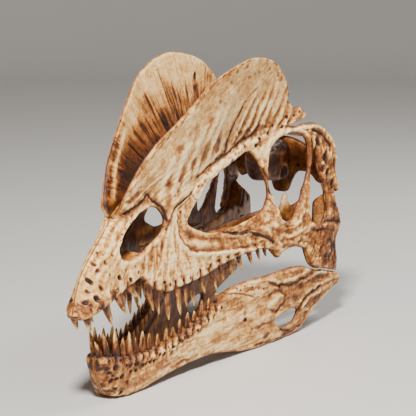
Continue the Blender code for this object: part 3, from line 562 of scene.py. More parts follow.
JAW_GRAIN = {
    "dentary": ((30, 96, -10, 110, 78, 1.3, 0.16), (96, 420, -10, 110, 4, 0.9, 0.16)),
    "surangular": ((290, 620, 20, 120, -6, 1.2, 0.16),),
    "angular": ((360, 470, -10, 60, 0, 0.9, 0.12), (470, 620, -10, 80, 27, 1.2, 0.16)),
}
# Pits: (y, z, radius, depth, tone) on the snout, (y, z) over and under the teeth, (y, z, radius) on the chin.
PREMAXILLA_PITS = ((40, 193, 2.6, 1.3, 0.4), (57, 192, 2.4, 1.2, 0.45), (43, 184, 2.8, 1.3, 0.4),
                   (28, 173, 3.2, 3.0, 0.9), (40, 163, 3.0, 1.6, 0.45), (31, 150, 3.8, 3.6, 1.0),
                   (16, 147, 2.8, 2.6, 0.85), (79, 168, 3.2, 3.4, 1.0), (100, 161, 2.4, 2.6, 0.9),
                   (118, 166, 2.2, 2.0, 0.7), (73, 152, 2.8, 1.8, 0.6), (56, 154, 2.3, 1.8, 0.6),
                   (64, 146, 2.0, 1.5, 0.6), (22, 160, 2.2, 1.6, 0.5), (60, 176, 1.8, 1.2, 0.35),
                   (70, 200, 1.6, 1.0, 0.35), (52, 206, 1.5, 1.0, 0.4), (34, 137, 2.0, 1.4, 0.5),
                   (92, 175, 1.8, 1.2, 0.4), (112, 176, 1.5, 1.0, 0.35))
MAXILLA_PITS = ((152, 145), (170, 142), (180, 137), (191, 138), (208, 139), (220, 139), (233, 142),
                (243, 144), (255, 146), (268, 147), (287, 149), (305, 152), (324, 152), (343, 152),
                (366, 153), (384, 153))
DENTARY_PITS = ((123, 38), (129, 38), (137, 38), (144, 38), (154, 44), (165, 42), (174, 46), (185, 48),
                (193, 50), (202, 52), (213, 55), (222, 57), (235, 60), (248, 63), (259, 69), (270, 73),
                (288, 82))
CHIN_PITS = ((68, 47, 2.8), (65, 29, 2.8), (72, 30, 2.2), (80, 33, 3.0), (73, 17, 2.2), (82, 8, 2.2),
             (97, 43, 2.6), (110, 43, 2.6), (98, 35, 2.0), (108, 34, 2.2), (60, 40, 2.2), (88, 47, 2.0),
             (90, 22, 1.6), (77, 55, 2.2))


# Folds over the crest's base, from foot to top.
CREST_BASE_FOLDS = (((200, 262), (228, 335)), ((226, 268), (257, 345)), ((250, 280), (284, 358)),
    ((276, 290), (306, 366)), ((176, 262), (196, 316)))
# Pockets between the folds: (y, z, radius, depth, tone).
CREST_POCKETS = ((240, 295, 5.5, 2.6, 0.75), (264, 307, 8, 2.2, 0.5), (297, 318, 8, 2.2, 0.55),
    (213, 284, 8, 1.8, 0.38), (188, 277, 7, 1.8, 0.45), (200, 320, 7, 1.2, 0.36), (228, 337, 8, 1.0, 0.2),
    (262, 350, 8, 0.8, 0.18), (303, 307, 4, 2, 0.6))
# The crest's crack, the band over the antorbital opening, and the rim of the hollow in front of it.
CREST_CRACK_Z = (296, 313, 330, 349, 364, 374, 383, 394, 406, 420)
CREST_CRACK_Y = (323, 327, 331, 340, 351, 364, 380, 397, 411, 428)
BAND_Y = (240, 262, 280, 313, 347, 373, 393, 412)
BAND_Z = (253, 264, 270, 281, 291, 299, 305, 304)
FOSSA_RIM_Y = (196, 206, 227, 253, 290, 320, 347, 390, 410)
FOSSA_RIM_Z = (225, 193, 174, 166, 161, 158, 154, 150, 147)
# Pits over the orbit and on the finger behind the crest: (y, z, radius).
BROW_PITS = ((435, 313, 3.4), (470, 317, 3.0), (480, 331, 3.2), (487, 352, 2.6), (412, 305, 3.6),
    (402, 299, 3.0), (448, 322, 2.2), (498, 331, 2.2), (508, 336, 1.8))
# Specks along the crest's edge, and stains along its front.
CREST_SPECKS = ((293, 415, 4), (300, 405, 3), (312, 417, 3), (337, 422, 4), (352, 404, 3), (280, 380, 3),
    (410, 412, 3), (452, 392, 5), (440, 400, 4), (378, 411, 3))
CREST_FRONT_STAINS = ((130, 306), (147, 322), (160, 332), (176, 345), (198, 360), (222, 378))
# Pores in front of the nostril.
NARIS_PORES = ((90, 196), (89, 205), (93, 214), (98, 222), (105, 229), (96, 190), (112, 234), (120, 238))
# Stains in the fossa: (y, z, reach along, reach across, tone, turn).
FOSSA_STAINS = ((262, 186, 26, 6, 0.34, -14), (228, 203, 10, 8, 0.3, -50), (300, 175, 16, 5, 0.26, -8),
    (338, 167, 20, 5, 0.3, -4), (372, 168, 14, 5, 0.36, -10), (240, 178, 8, 5, 0.22, -30))
# Stains on the cheek: (y, z, reach along, reach across, tone).
CHEEK_STAINS = ((424, 165, 10, 6, 0.3), (447, 168, 8, 7, 0.34), (470, 150, 16, 8, 0.36),
    (440, 146, 12, 6, 0.3), (495, 148, 12, 8, 0.34), (520, 138, 16, 11, 0.42), (546, 128, 14, 14, 0.36),
    (552, 104, 14, 12, 0.36), (575, 120, 9, 18, 0.36), (507, 150, 9, 8, 0.28), (490, 178, 8, 6, 0.22),
    (566, 146, 10, 8, 0.26))
# Pits at the back: (y, z, radius, depth, tone).
REAR_PITS = ((547, 286, 4, 3, 0.6), (562, 258, 5.5, 4.4, 0.75), (563, 233, 4.5, 3.4, 0.5),
    (577, 217, 4.5, 3.4, 0.6), (576, 270, 4.5, 2.8, 0.3), (589, 248, 4, 2.4, 0.3), (552, 244, 3, 2.2, 0.3),
    (560, 279, 4, 2.4, 0.3), (580, 180, 3, 2, 0.3), (545, 110, 3, 2, 0.3), (570, 100, 3, 2, 0.3))
# Where the fine ribs on the crest's inner face fan out from.
FAN_Y, FAN_Z = 372, 190
# Pores along the surangular's top.
SURANGULAR_PORES = ((330, 99), (340, 103), (356, 97), (372, 92), (322, 101), (384, 90))


def wall_ground(r, y, z, bone):
    """General unevenness, grain and stain of the cranium's outer face."""
    yy, zz = r.y, r.z
    above = z - brow_line(y)
    crest = smooth_step(above, 0, 22) * smooth_step(y, 92, 110)
    snout = 1 - smooth_step(y, 118, 150)
    rear = smooth_step(y, 500, 540)
    low_wall = smooth_step(y, 220, 380) * (1 - smooth_step(above, -60, -20))
    r.roughen(2.4 - 1.0 * crest, 1.3 - 0.8 * crest + 1.1 * rear + 0.5 * low_wall - 0.4 * snout,
              0.50 - 0.25 * crest + 0.6 * rear + 0.25 * low_wall, 5)
    r.tone += 0.09 + 0.22 * rear + 0.26 * low_wall + 0.03 * crest
    r.tone += 0.08 * snout * (1 - smooth_step(z, 128, 152)) + 0.06 * snout * (1 - smooth_step(z, 150, 190))
    r.mottle(0.10 + 0.08 * rear, 34, -0.1, 0.6, seed=31)
    r.mottle(0.03 + 0.10 * rear + 0.10 * low_wall, 7, 0.1, 0.6, seed=33)
    pale = smooth_step(fbm(yy / 3, zz, 6, 4, seed=35), 0.05, 0.4)
    r.tone -= (0.20 * low_wall + 0.10 * rear) * pale
    r.streaks(WALL_GRAIN[bone], 2.9, 140)
    along, across = yy * 0.92 + zz * 0.39, zz * 0.92 - yy * 0.39
    grain = fbm(along / 9, across, 2.3, 3, seed=7)
    r.height += 0.5 * crest * grain
    r.tone += 0.09 * crest * grain


def crest_marks(r, y, z, bone):
    """Pockets between low folds over the crest's base, folds behind its crack, and stains along its edge."""
    yy, zz = r.y, r.z
    for a, b in CREST_BASE_FOLDS:
        r.line([a, ((a[0] + b[0]) / 2 - 3, (a[1] + b[1]) / 2), b], 5.5, 1.5, -0.10)
    for py, pz, pr, depth, tone in CREST_POCKETS:
        r.pit(py, pz, pr * 1.3, 0.5 * depth, tone * 0.12, long=1.3, turn=62, lip=0.1)
        r.blotch(py, pz, pr * 2.2, pr * 1.5, tone * 0.34, turn=60, ragged=0.9)
        r.blotch(py + 1, pz - 2, pr * 1.3, pr * 0.8, tone * 0.50, turn=60, ragged=1.2, seed=43)
    behind = smooth_step(yy - np.interp(zz, CREST_CRACK_Z, CREST_CRACK_Y), 6, 22)
    folded = behind * between(zz, 303, 322, 352, 396)
    across_fold = (yy - 336) * 0.874 - (zz - 300) * 0.486
    folds = np.cos(across_fold * 2 * math.pi / 18.5 + 1.5 * noise(yy / 26, zz / 26, seed=9))
    folds *= 0.55 + 0.6 * r.patches(20, -0.3, 0.3, 34, octaves=2)
    low_end = 1 - smooth_step(zz, 318, 360)
    r.height += 1.4 * folded * folds
    r.tone += folded * (0.03 + 0.12 * low_end - (0.05 + 0.09 * low_end) * folds) * (0.6 + 0.6 * r.vary)
    if bone in ("nasal_crest", "lacrimal_crest"):
        near = distance_to_curve(SEAMS["crest_front"] + SEAMS["crest_back"][1:], y, z)
        patchy = r.patches(9, -0.25, 0.3, 12)
        r.tone += (0.40 * bell(near - 2.6, 1.3) + 0.10 * bell(near, 9)) * patchy
        r.height -= 0.6 * bell(near - 3.2, 1.5) * patchy
    r.blotch(408, 324, 22, 8, 0.5, turn=-4)
    r.blotch(395, 340, 13, 9, 0.25)
    r.blotch(408, 301, 10, 7, 0.55)
    r.blotch(378, 300, 12, 5, 0.3)
    r.blotch(436, 331, 13, 9, 0.28, turn=50)
    for py, pz, pr in BROW_PITS:
        r.pit(py, pz, pr, 2.2, 0.75)
    for py, pz, pr in CREST_SPECKS:
        r.blotch(py, pz, pr * 1.6, pr, 0.4)
    r.line([(105, 262), (117, 266), (130, 272)], 4.5, -1.4, 0.1)
    r.blotch(118, 268, 14, 6, 0.6, turn=22, ragged=1.2)
    r.blotch(188, 252, 7, 18, 0.36, turn=-8)
    r.blotch(206, 262, 9, 8, 0.25)
    for py, pz in CREST_FRONT_STAINS:
        r.blotch(py, pz, 9, 2.6, 0.45, turn=42)


def brow_marks(r):
    """The craggy band over the antorbital opening, the dark cleft above it, and the crest's crack."""
    yy, zz = r.y, r.z
    r.line([(246, 256), (262, 264), (280, 270), (313, 281), (347, 291), (373, 299), (393, 305), (410, 304)],
           4.6, 3.0, -0.16)
    craggy = bell(zz - np.interp(yy, BAND_Y, BAND_Z), 9) * between(yy, 236, 256, 410, 430)
    crumbs = noise(yy / 5, zz / 4, seed=27)
    r.height += craggy * (2.2 * fbm(yy, zz, 9, 3, seed=26) - 1.2 * smooth_step(crumbs, 0.2, 0.7))
    r.tone += craggy * (0.16 * r.patches(8, -0.1, 0.4, 28) + 0.34 * smooth_step(crumbs, 0.3, 0.8))
    r.line([(262, 274), (280, 281), (300, 288), (315, 292), (330, 296), (350, 302), (372, 309), (392, 314)],
           1.9, -2.6, 0.55)
    r.line([(262, 281), (285, 290), (310, 300)], 3.0, 1.2, -0.1)
    # broken, rust-stained bone over the orbit and at the front foot of the crest
    over_band = zz - np.interp(yy, (330, 373, 410, 445), (298, 306, 307, 314))
    broken = between(yy, 334, 350, 428, 450) * between(over_band, 0, 5, 14, 34)
    broken += 0.8 * bell(yy - 206, 15) * bell(zz - 265, 11)
    lumps = smooth_step(noise(yy / 5, zz / 5, seed=38), 0.2, 0.7)
    r.height += broken * (1.6 * fbm(yy, zz, 8, 3, seed=36) + lumps)
    r.tone += broken * (0.06 + 0.44 * r.patches(7, 0.0, 0.35, 37) - 0.22 * lumps)
    r.line([(300, 292), (314, 293), (324, 299), (327, 313)], 1.6, -1.4, 0.7)
    r.line([(325, 300), (327, 313), (331, 330), (340, 349), (348, 360)], 2.3, -2.4, 1.2)
    r.line([(344, 356), (353, 367), (366, 377), (382, 386)], 1.6, -1.0, 0.4)
    r.line([(350, 306), (375, 314), (400, 318)], 2.2, -1.0, 0.3)


def naris_marks(r):
    """The nostril's rim and the sutures beside it."""
    r.line([(104, 248), (125, 255), (140, 261), (149, 266), (158, 257), (170, 249), (180, 240), (184, 226)],
           2.3, -2.6, 1.1)
    r.line([(108, 250), (122, 254)], 3.0, -0.8, 0.35)
    for py, pz in NARIS_PORES:
        r.pit(py - 4, pz + 1, 1.5, 1.0, 0.6)
    r.line([(180, 214), (188, 224), (199, 238), (218, 246), (240, 254)], 1.7, -1.8, 0.85)
    r.blotch(212, 226, 8, 5, 0.4)
    r.pit(205, 222, 3.0, 2.0, 0.6)
    r.pit(216, 232, 2.2, 1.6, 0.5)


def snout_marks(r, y, z):
    """Pits, the rust-stained patch over the second tooth, and fine pores along the snout's top."""
    yy, zz = r.y, r.z
    snout = 1 - smooth_step(y, 118, 150)
    for py, pz, radius, depth, tone in PREMAXILLA_PITS:
        r.pit(py, pz, radius, depth, tone * 0.9, long=1.25, turn=-50)
        r.blotch(py, pz, radius * 2.3, radius * 1.9, 0.10, ragged=1.0, seed=int(py))
    r.blotch(57, 149, 13, 9, 0.55, ragged=1.2)
    behind = distance_to_curve(SEAMS["snout_front"], y, z) + 2.0 * noise(yy / 16, zz / 16, seed=25)
    ribbed = snout * smooth_step(zz, 158, 190) * (1 - smooth_step(behind, 26, 40))
    ribs = ribbed * np.cos(behind * 2 * math.pi / 9.5)
    r.height += 0.5 * ribs
    r.tone -= 0.02 * ribs
    r.blotch(14, 138, 8, 10, 0.5, ragged=1.1)
    r.blotch(30, 142, 16, 8, 0.2, ragged=1.4)
    tip = snout * (1 - smooth_step(zz + 0.35 * yy, 150, 172))
    r.ink += 0.42 * tip * r.patches(5, 0.05, 0.4, 39)
    pores = smooth_step(noise(yy / 2.4, zz / 2.4, seed=21), 0.35, 0.8)
    near_front = smooth_step(smooth_curve(z, SNOUT_Z, SNOUT_Y) - y, -26, -6)
    top_band = snout * near_front * smooth_step(z, 150, 190)
    r.height -= 0.9 * top_band * pores
    r.tone += 0.2 * top_band * pores


def maxilla_marks(r, bone):
    """Streaks in front, foramina over the teeth, and the fossa with its raised lower rim."""
    yy, zz = r.y, r.z
    for k, py in enumerate((134, 150, 169)):
        r.line([(py + 5, 194), (py + 1, 184), (py - 3, 171)], 3.4 - 0.5 * k, -1.6, 0.30)
    for k in range(9):
        top = (186 + 2.2 * k, 226 - 3.0 * k)
        foot = (146 + 13 * k, 158 - 1.2 * k)
        mid = ((top[0] + foot[0]) / 2 + 3, (top[1] + foot[1]) / 2)
        r.line([top, mid, foot], 2.2, 0.9 if k % 2 else -0.8, -0.05 if k % 2 else 0.12)
    for py, pz in MAXILLA_PITS:
        r.pit(py, pz, 2.1 if py < 300 else 1.7, 2.4, 0.95, long=1.25, turn=70)
    over_rim = smooth_step(zz - np.interp(yy, FOSSA_RIM_Y, FOSSA_RIM_Z), -1, 6)
    in_fossa = between(yy, 199, 208, 370, 412) * over_rim * (1 - smooth_step(zz, 250, 256))
    if bone in ("maxilla", "jugal"):
        r.height -= 3.2 * in_fossa
        r.line([(203, 214), (205, 198), (212, 184), (227, 173), (253, 165), (290, 160), (320, 157),
                (347, 154), (380, 151)], 2.6, 2.4, -0.22)
        r.line([(208, 212), (210, 200), (217, 187), (231, 177), (256, 169), (292, 164), (322, 161),
                (350, 158)], 1.6, -1.0, 0.36)
        r.line([(214, 212), (226, 199), (246, 191), (268, 185), (292, 181)], 4.4, -0.8, 0.26)
        r.line([(222, 191), (250, 179), (285, 173), (330, 168), (370, 164)], 3.6, 1.0, -0.08)
        for py, pz, ry, rz, tone, turn in FOSSA_STAINS:
            r.blotch(py, pz, ry, rz, tone, turn=turn, ragged=1.1, seed=int(py))
        r.line([(206, 236), (213, 226), (222, 221)], 3.0, 1.6, -0.12)
    r.line([(300, 190), (320, 183.5), (340, 180.5), (363, 178), (387, 169), (413, 155)], 2.0, -2.4, 1.1)
    r.line([(300, 185), (320, 178.5), (340, 175.5), (363, 173), (385, 164), (410, 151)], 2.2, 1.5, -0.14)
    r.blotch(185, 165, 16, 10, -0.16)
    r.line([(186, 214), (190, 196), (192, 176)], 7.0, 1.4, -0.12)


def cheek_marks(r, y, z):
    """The jugal, the postorbital and the corner behind them."""
    for py, pz, ry, rz, tone in CHEEK_STAINS:
        r.blotch(py, pz, ry, rz, tone, ragged=1.2, seed=int(py))
    r.line([(420, 160), (440, 158), (462, 156), (486, 160), (510, 164)], 4.0, 1.8, -0.14)
    r.line([(425, 150), (448, 147), (475, 147), (498, 143)], 3.0, 1.4, -0.08)
    r.line([(508, 164), (533, 160), (560, 155), (594, 148)], 3.2, 2.4, -0.2)
    r.line([(512, 169), (534, 165.5), (560, 160), (590, 154)], 1.8, -1.8, 0.8)
    r.line([(515, 154), (540, 150), (572, 143)], 2.0, -1.2, 0.4)
    r.line([(446, 176), (452, 166), (458, 158)], 3.0, -1.0, 0.3)
    r.line([(430, 200), (424, 190), (420, 178)], 2.6, 1.2, -0.1)
    r.line([(529, 292), (531, 277), (529, 258), (523, 240)], 1.5, -2.0, 0.75)
    r.line([(520, 296), (522, 280), (519, 262), (513, 246), (505, 230)], 3.0, 1.6, -0.16)
    r.line([(424, 284), (432, 294), (447, 302), (470, 308), (488, 310)], 3.4, 2.0, -0.2)
    r.line([(413, 262), (419, 240), (418, 222)], 1.6, -1.8, 0.8)
    r.line([(500, 312), (520, 311), (545, 308), (566, 302), (584, 290), (594, 272)], 2.6, 1.6, -0.16)
    r.line([(536, 304), (548, 300), (566, 290), (580, 276)], 3.4, -2.6, 0.6)
    for py, pz, radius, depth, tone in REAR_PITS:
        r.pit(py, pz, radius, depth, tone, long=1.9, turn=78 + 14 * math.sin(py))
    r.line([(560, 132), (566, 116), (560, 98)], 2.0, -2.0, 0.65)
    r.line([(574, 132), (578, 112), (574, 92)], 2.4, -1.2, 0.35)
    under_brow = 1 - smooth_step(z - brow_line(y), -12, 0)
    r.tone += 0.30 * smooth_step(y, 500, 540) * r.patches(11, -0.2, 0.45, 24) * under_brow
    r.line([(420, 178), (436, 172), (452, 168), (474, 172), (492, 184)], 3.0, 1.6, -0.12)
    r.line([(462, 138), (480, 142), (500, 138), (514, 126)], 2.6, -1.2, 0.3)


def wall_relief(y, z, bone):
    """Everything that the outer face of the cranium shows."""
    r = Relief(y, z)
    wall_ground(r, y, z, bone)
    crest_marks(r, y, z, bone)
    brow_marks(r)
    naris_marks(r)
    snout_marks(r, y, z)
    maxilla_marks(r, bone)
    cheek_marks(r, y, z)
    if bone == "premaxilla":
        sockets(r, PREMAXILLA_TEETH, "premaxilla_teeth", 1)
    if bone == "maxilla":
        sockets(r, MAXILLA_TEETH, "maxilla_teeth", 1)
    return r


def inner_relief(y, z, bone):
    """The inner face: the crest's fan of fine ribs over a valley darkened with stain and painted shade, and
    bone below that is dark with stain and painted shade.
    """
    r = Relief(y, z, 0.5, seed=60, soft=0.0)
    above = z - roof_height(y)
    crest = smooth_step(above, -6, 10) * smooth_step(y, 92, 104)
    up, back = z - FAN_Z, y - FAN_Y
    angle, out = np.arctan2(up, back), np.hypot(up, back)
    fine = fbm(angle * 190, out / 60, 2.2, 3, seed=61)
    broad = fbm(angle * 120, out / 50, 7.0, 2, seed=62)
    ribs = 0.62 * fine + 0.5 * broad
    r.height += crest * (1.0 * ribs + 0.5 * fbm(y, z, 30, 2, seed=63))
    ragged = above + 46 * ribs + 34 * fbm(y, z, 34, 3, seed=70)
    # darker down into the valley between the crests: painted shade where the other crest shadows it, with
    # stain
    valley_shade_and_stain = 1 - smooth_step(ragged, 26, 118 - 20 * smooth_step(y, 300, 420))
    stroke = fbm(angle * 150, out / 20, 3.4, 3, seed=71)
    near = distance_to_curve(SEAMS["crest_front"][:8], y, z)
    valley_shade_and_stain = valley_shade_and_stain * (0.25 + 0.75 * smooth_step(near, 18, 42))
    r.tone += crest * (0.10 + 0.58 * valley_shade_and_stain + 0.20 * ribs * smooth_step(160 - above, 0, 90))
    r.tone += crest * 0.46 * smooth_step(stroke, 0.02, 0.34) * smooth_step(valley_shade_and_stain, 0.05, 0.5)
    r.tone += crest * 0.30 * smooth_step(ribs, 0.24, 0.6) * smooth_step(140 - above, 0, 60)
    # painted shade and stain at the crest's foot
    r.tone += 0.22 * crest * (1 - smooth_step(above, 10, 44))
    edge = crest * (1 - smooth_step(y, 160, 215))
    band = 1 - smooth_step(near + 5 * fbm(y, z, 8, 3, seed=64), 8, 13)
    r.tone += edge * ((0.24 + 0.34 * fbm(y, z, 7, 3, seed=68)) * band - 0.22 * bell(near - 18, 6))
    r.height += edge * (1.6 * bell(near - 17, 6) + 0.8 * fbm(y, z, 6, 3, seed=69))
    r.pit(414, 391, 4, 2, 0.7, long=1.8, turn=60)
    r.blotch(410, 378, 12, 8, 0.3, turn=50)
    below = 1 - crest
    r.height += below * (1.3 * fbm(y, z, 14, 3, seed=66))
    shelf = between(y, 195, 225, 290, 330)
    # the bone below the crest is dark with stain and painted shade, less so between y 195 and 330
    r.tone += below * (0.66 - 0.26 * shelf + (0.26 + 0.16 * shelf) * fbm(y, z, 14, 3, seed=67))
    return r


def jaw_ground(r, y, bone):
    """General unevenness, grain and stain of the lower jaw's outer face."""
    front = 1 - smooth_step(y, 100, 150)
    rear = smooth_step(y, 400, 450)
    r.roughen(2.4, 0.7 + 0.9 * rear + 0.6 * front, 0.3 + 0.5 * front + 0.3 * rear, 81)
    r.tone += 0.16 + 0.06 * front + 0.12 * rear - 0.07 * between(y, 120, 180, 330, 400)
    r.mottle(0.10 + 0.04 * front + 0.04 * rear, 34, -0.2, 0.6, seed=87)
    r.drift(0.20, 9, 5, 4.5, seed=89)
    r.streaks(JAW_GRAIN[bone], 2.7, 160)


def dentary_marks(r, y, z):
    """Sockets, two rows of pits, the worn and pitted chin, and broad swellings."""
    yy, zz = r.y, r.z
    sockets(r, DENTARY_TEETH, "dentary_teeth", -1)
    for py, pz in DENTARY_PITS:
        r.pit(py, pz, 2.0, 2.2, 0.8, long=1.3, turn=60)
    for py, pz, radius in CHIN_PITS:
        r.pit(py, pz, radius, 2.2, 0.85, long=1.2, turn=30)
        r.blotch(py, pz, radius * 2.2, radius * 1.8, 0.12, ragged=1.1)
    shelf = margin_height("dentary_teeth", yy)
    r.tone += 0.26 * smooth_step(zz - shelf, -24, -8) * r.patches(7, -0.3, 0.4, 84)
    r.height += 1.1 * bell(zz - shelf + 9, 3.5)
    for k in range(26):
        py = 70 + 8.6 * k
        pz = float(margin_height("dentary_teeth", py)) - 7.5 - 2.5 * (k % 3)
        r.pit(py, pz, 1.7, 1.4, 0.55, long=1.6, turn=80)
    near = distance_to_curve(SEAMS["chin"], y, z)
    worn = 1 - smooth_step(near + 8 * fbm(yy, zz, 14, 3, seed=86), 8, 30)
    r.tone += 0.03 * worn
    r.ink += 0.46 * worn * r.patches(6, 0.05, 0.36, 88)
    r.blotch(62, 46, 12, 20, 0.26, ragged=1.3)
    r.blotch(86, 26, 16, 8, 0.16, turn=30, ragged=1.3)
    r.line([(180, 18), (200, 20.5), (230, 22), (262, 21)], 2.0, -0.6, 0.34)
    r.line([(110, 24), (140, 22), (170, 25)], 2.4, -0.4, 0.2)
    r.pit(341, 51, 2.6, 2.2, 0.9, long=1.6, turn=-35)
    r.blotch(338, 62, 8, 6, 0.45)
    r.blotch(371, 35, 20, 4.5, 0.55, turn=3, ragged=1.0)
    r.blotch(392, 16, 14, 5, 0.6, turn=6, ragged=1.0)
    r.blotch(325, 75, 22, 8, 0.2, turn=-12)
    r.blotch(300, 60, 18, 6, 0.16)
    r.line([(300, 62), (340, 56), (380, 46), (404, 44)], 6.0, 1.2, -0.08)
    r.line([(225, 50), (265, 52), (300, 58)], 6.0, 0.9, -0.08)


def jaw_rear_marks(r):
    """Lines and pits round the opening behind the dentary."""
    r.line([(366, 6), (395, 5), (425, 5), (455, 7), (480, 12)], 1.6, -1.2, 0.6)
    r.line([(476, 39), (481, 46), (489, 52), (499, 55), (515, 58), (534, 62)], 2.0, -2.2, 0.95)
    r.line([(484, 38), (490, 45), (499, 49), (515, 52), (536, 57)], 2.6, 1.4, -0.16)
    r.line([(425, 17), (436, 13.5), (452, 9)], 1.5, -2.0, 0.9)
    r.line([(396, 96), (423, 87), (453, 82), (483, 84), (513, 88)], 2.2, -1.6, 0.42)
    r.line([(392, 100), (423, 93), (453, 89), (483, 92), (510, 95)], 3.0, 1.6, -0.14)
    r.pit(423, 84, 2.6, 2.2, 0.85)
    r.line([(404, 50), (414, 46), (424, 52), (436, 59)], 2.6, -1.8, 0.6)
    r.line([(396, 60), (412, 66), (430, 70), (440, 66)], 4.0, 1.6, -0.16)
    r.line([(398, 74), (412, 79), (428, 76), (436, 68)], 3.2, -1.2, 0.42)


def surangular_marks(r):
    """Stains, low ridges and pores of the bone along the jaw's upper rear."""
    r.blotch(458, 66, 30, 14, 0.30)
    r.blotch(500, 70, 30, 8, 0.22)
    r.line([(480, 74), (510, 76), (545, 76), (592, 69)], 5.0, -1.4, 0.24)
    r.blotch(540, 74, 34, 6, 0.22, ragged=1.3)
    r.line([(470, 79), (505, 83), (545, 82), (590, 74)], 2.6, 1.4, -0.18)
    r.line([(476, 50), (492, 60), (520, 64), (560, 67)], 3.2, 1.4, -0.16)
    r.blotch(430, 98, 20, 6, 0.3)
    r.blotch(470, 98, 16, 6, 0.34)
    r.blotch(345, 96, 24, 4, 0.36, turn=-8)
    for py, pz in SURANGULAR_PORES:
        r.pit(py, pz, 1.8, 1.4, 0.6)


def angular_marks(r):
    """Stains and low ridges of the bone along the jaw's lower rear."""
    r.blotch(524, 44, 16, 9, 0.5, turn=20)
    r.blotch(500, 40, 12, 6, 0.3, turn=30)
    r.blotch(436, 8, 16, 4, 0.24)
    r.line([(484, 40), (500, 50), (530, 55), (570, 56)], 3.0, 1.2, -0.14)
    r.line([(480, 8), (502, 20), (526, 36), (560, 46)], 3.0, 1.2, -0.14)


def jaw_relief(y, z, bone):
    """Everything that the outer face of the lower jaw shows."""
    r = Relief(y, z, seed=80)
    jaw_ground(r, y, bone)
    if bone == "dentary":
        dentary_marks(r, y, z)
    jaw_rear_marks(r)
    if bone == "surangular":
        surangular_marks(r)
    if bone == "angular":
        angular_marks(r)
    return r


def jaw_inner_relief(y, z, bone):
    """The inner face of the lower jaw, with a long groove under the teeth."""
    r = Relief(y, z, 0.5, seed=100, soft=0.0)
    r.height += 0.9 * fbm(y, z, 20, 3, seed=101)
    over_groove = z - (margin_height("dentary_teeth", y) - 26)
    # dark base: stain and painted shade of the jaw's inner side
    r.tone += 0.5 + 0.22 * fbm(y, z, 18, 3, seed=102) + 0.25 * bell(over_groove, 5) * (y < 330)
    r.height -= 1.8 * bell(over_groove, 4) * (y < 330)
    if bone == "dentary":
        for y0, _, _, wide in tooth_row(DENTARY_TEETH):
            z0 = float(margin_height("dentary_teeth", y0))
            r.line([(y0, z0), (y0, z0 - 10)], wide * 0.4, 1.0, -0.08)
            r.line([(y0 + 6, z0), (y0 + 6, z0 - 8)], 1.3, -1.0, 0.4)
    return r


def plain_relief(seed, tone, size=12.0, height=0.9):
    """Uneven bone with a few pits, for faces that are hardly seen, darkened by a base tone that is stain and
    painted shade.
    """
    def relief(a, b, _):
        r = Relief(a, b, 0.5, seed=seed, soft=0.0)
        r.height += height * fbm(a, b, size, 4, seed=seed + 5)
        # base tone: stain and painted shade of the skull's hidden inner faces
        r.tone += tone + 0.24 * fbm(a, b, size * 1.4, 3, seed=seed + 6)
        for centre in range(9):
            across = 0.5 + 0.5 * noise(centre * 7.3, seed * 1.1, seed=seed)
            along = 0.5 + 0.5 * noise(centre * 3.7, 2.2, seed=seed)
            r.pit(a.min() + across * np.ptp(a), b.min() + along * np.ptp(b), 2.4, 1.6, 0.5)
        return r
    return relief


# ---------------------------------------------------------------- mesh building

class Shape:
    """Vertices, faces and tones gathered for one piece, in skull millimetres."""

    def __init__(self):
        self.verts, self.faces, self.tones, self.count = [], [], [], 0

    def add(self, verts, faces, tones):
        self.verts.append(np.asarray(verts, float))
        self.faces += [tuple(int(i) + self.count for i in f) for f in faces]
        self.tones.append(np.broadcast_to(np.asarray(tones, float), (len(verts),)))
        self.count += len(verts)

    def arrays(self):
        return np.vstack(self.verts), self.faces, np.concatenate(self.tones)


def outline_of(order):
    """The closed outline along named seams, with each point's edge style."""
    points, styles = [], []
    for name in order.split():
        seam = flow(SEAMS[name.lstrip("-")])
        seam = seam[::-1] if name.startswith("-") else seam
        points.append(seam[:-1])
        styles += [name.lstrip("-")] * (len(seam) - 1)
    return np.vstack(points), styles


def signed_area(p):
    """Area of a closed outline, positive where it runs anticlockwise."""
    q = np.roll(p, -1, axis=0)
    return float((p[:, 0] * q[:, 1] - q[:, 0] * p[:, 1]).sum() / 2)


def inset(points, distance):
    """The closed outline moved inwards."""
    p = np.asarray(points, float)
    if signed_area(p) < 0:
        return inset(p[::-1], distance)[::-1]
    ahead = np.roll(p, -1, axis=0) - p
    ahead /= np.linalg.norm(ahead, axis=1)[:, None]
    behind = np.roll(ahead, 1, axis=0)
    inward = np.stack([-(ahead + behind)[:, 1], (ahead + behind)[:, 0]], axis=1)
    inward /= np.linalg.norm(inward, axis=1)[:, None]
    lean = np.clip(inward[:, 0] * -ahead[:, 1] + inward[:, 1] * ahead[:, 0], 0.45, 1)
    return p + inward * (distance / lean)[:, None]


def inside(polygon, points):
    """Which points lie in a polygon."""
    x, y = points[:, 0], points[:, 1]
    result = np.zeros(len(points), bool)
    for (x1, y1), (x2, y2) in zip(polygon, np.roll(polygon, -1, axis=0)):
        if y1 != y2:
            result ^= ((y1 > y) != (y2 > y)) & (x < (x2 - x1) * (y - y1) / (y2 - y1) + x1)
    return result


def distance_to(starts, ends, points):
    """Distance from each point to the nearest of the lines from starts to ends."""
    best = np.full(len(points), 1e9)
    for a, b in zip(starts, ends):
        run = b - a
        t = np.clip(((points - a) @ run) / max(float(run @ run), 1e-9), 0, 1)
        rest = points - a - t[:, None] * run
        best = np.minimum(best, rest[:, 0] ** 2 + rest[:, 1] ** 2)
    return np.sqrt(best)


def quarter(distance, reach, drop):
    """How far a face sinks near an edge that is rounded as a quarter ellipse."""
    return drop * (1 - np.sqrt(np.clip(1 - (1 - np.clip(distance / reach, 0, 1)) ** 2, 0, 1)))


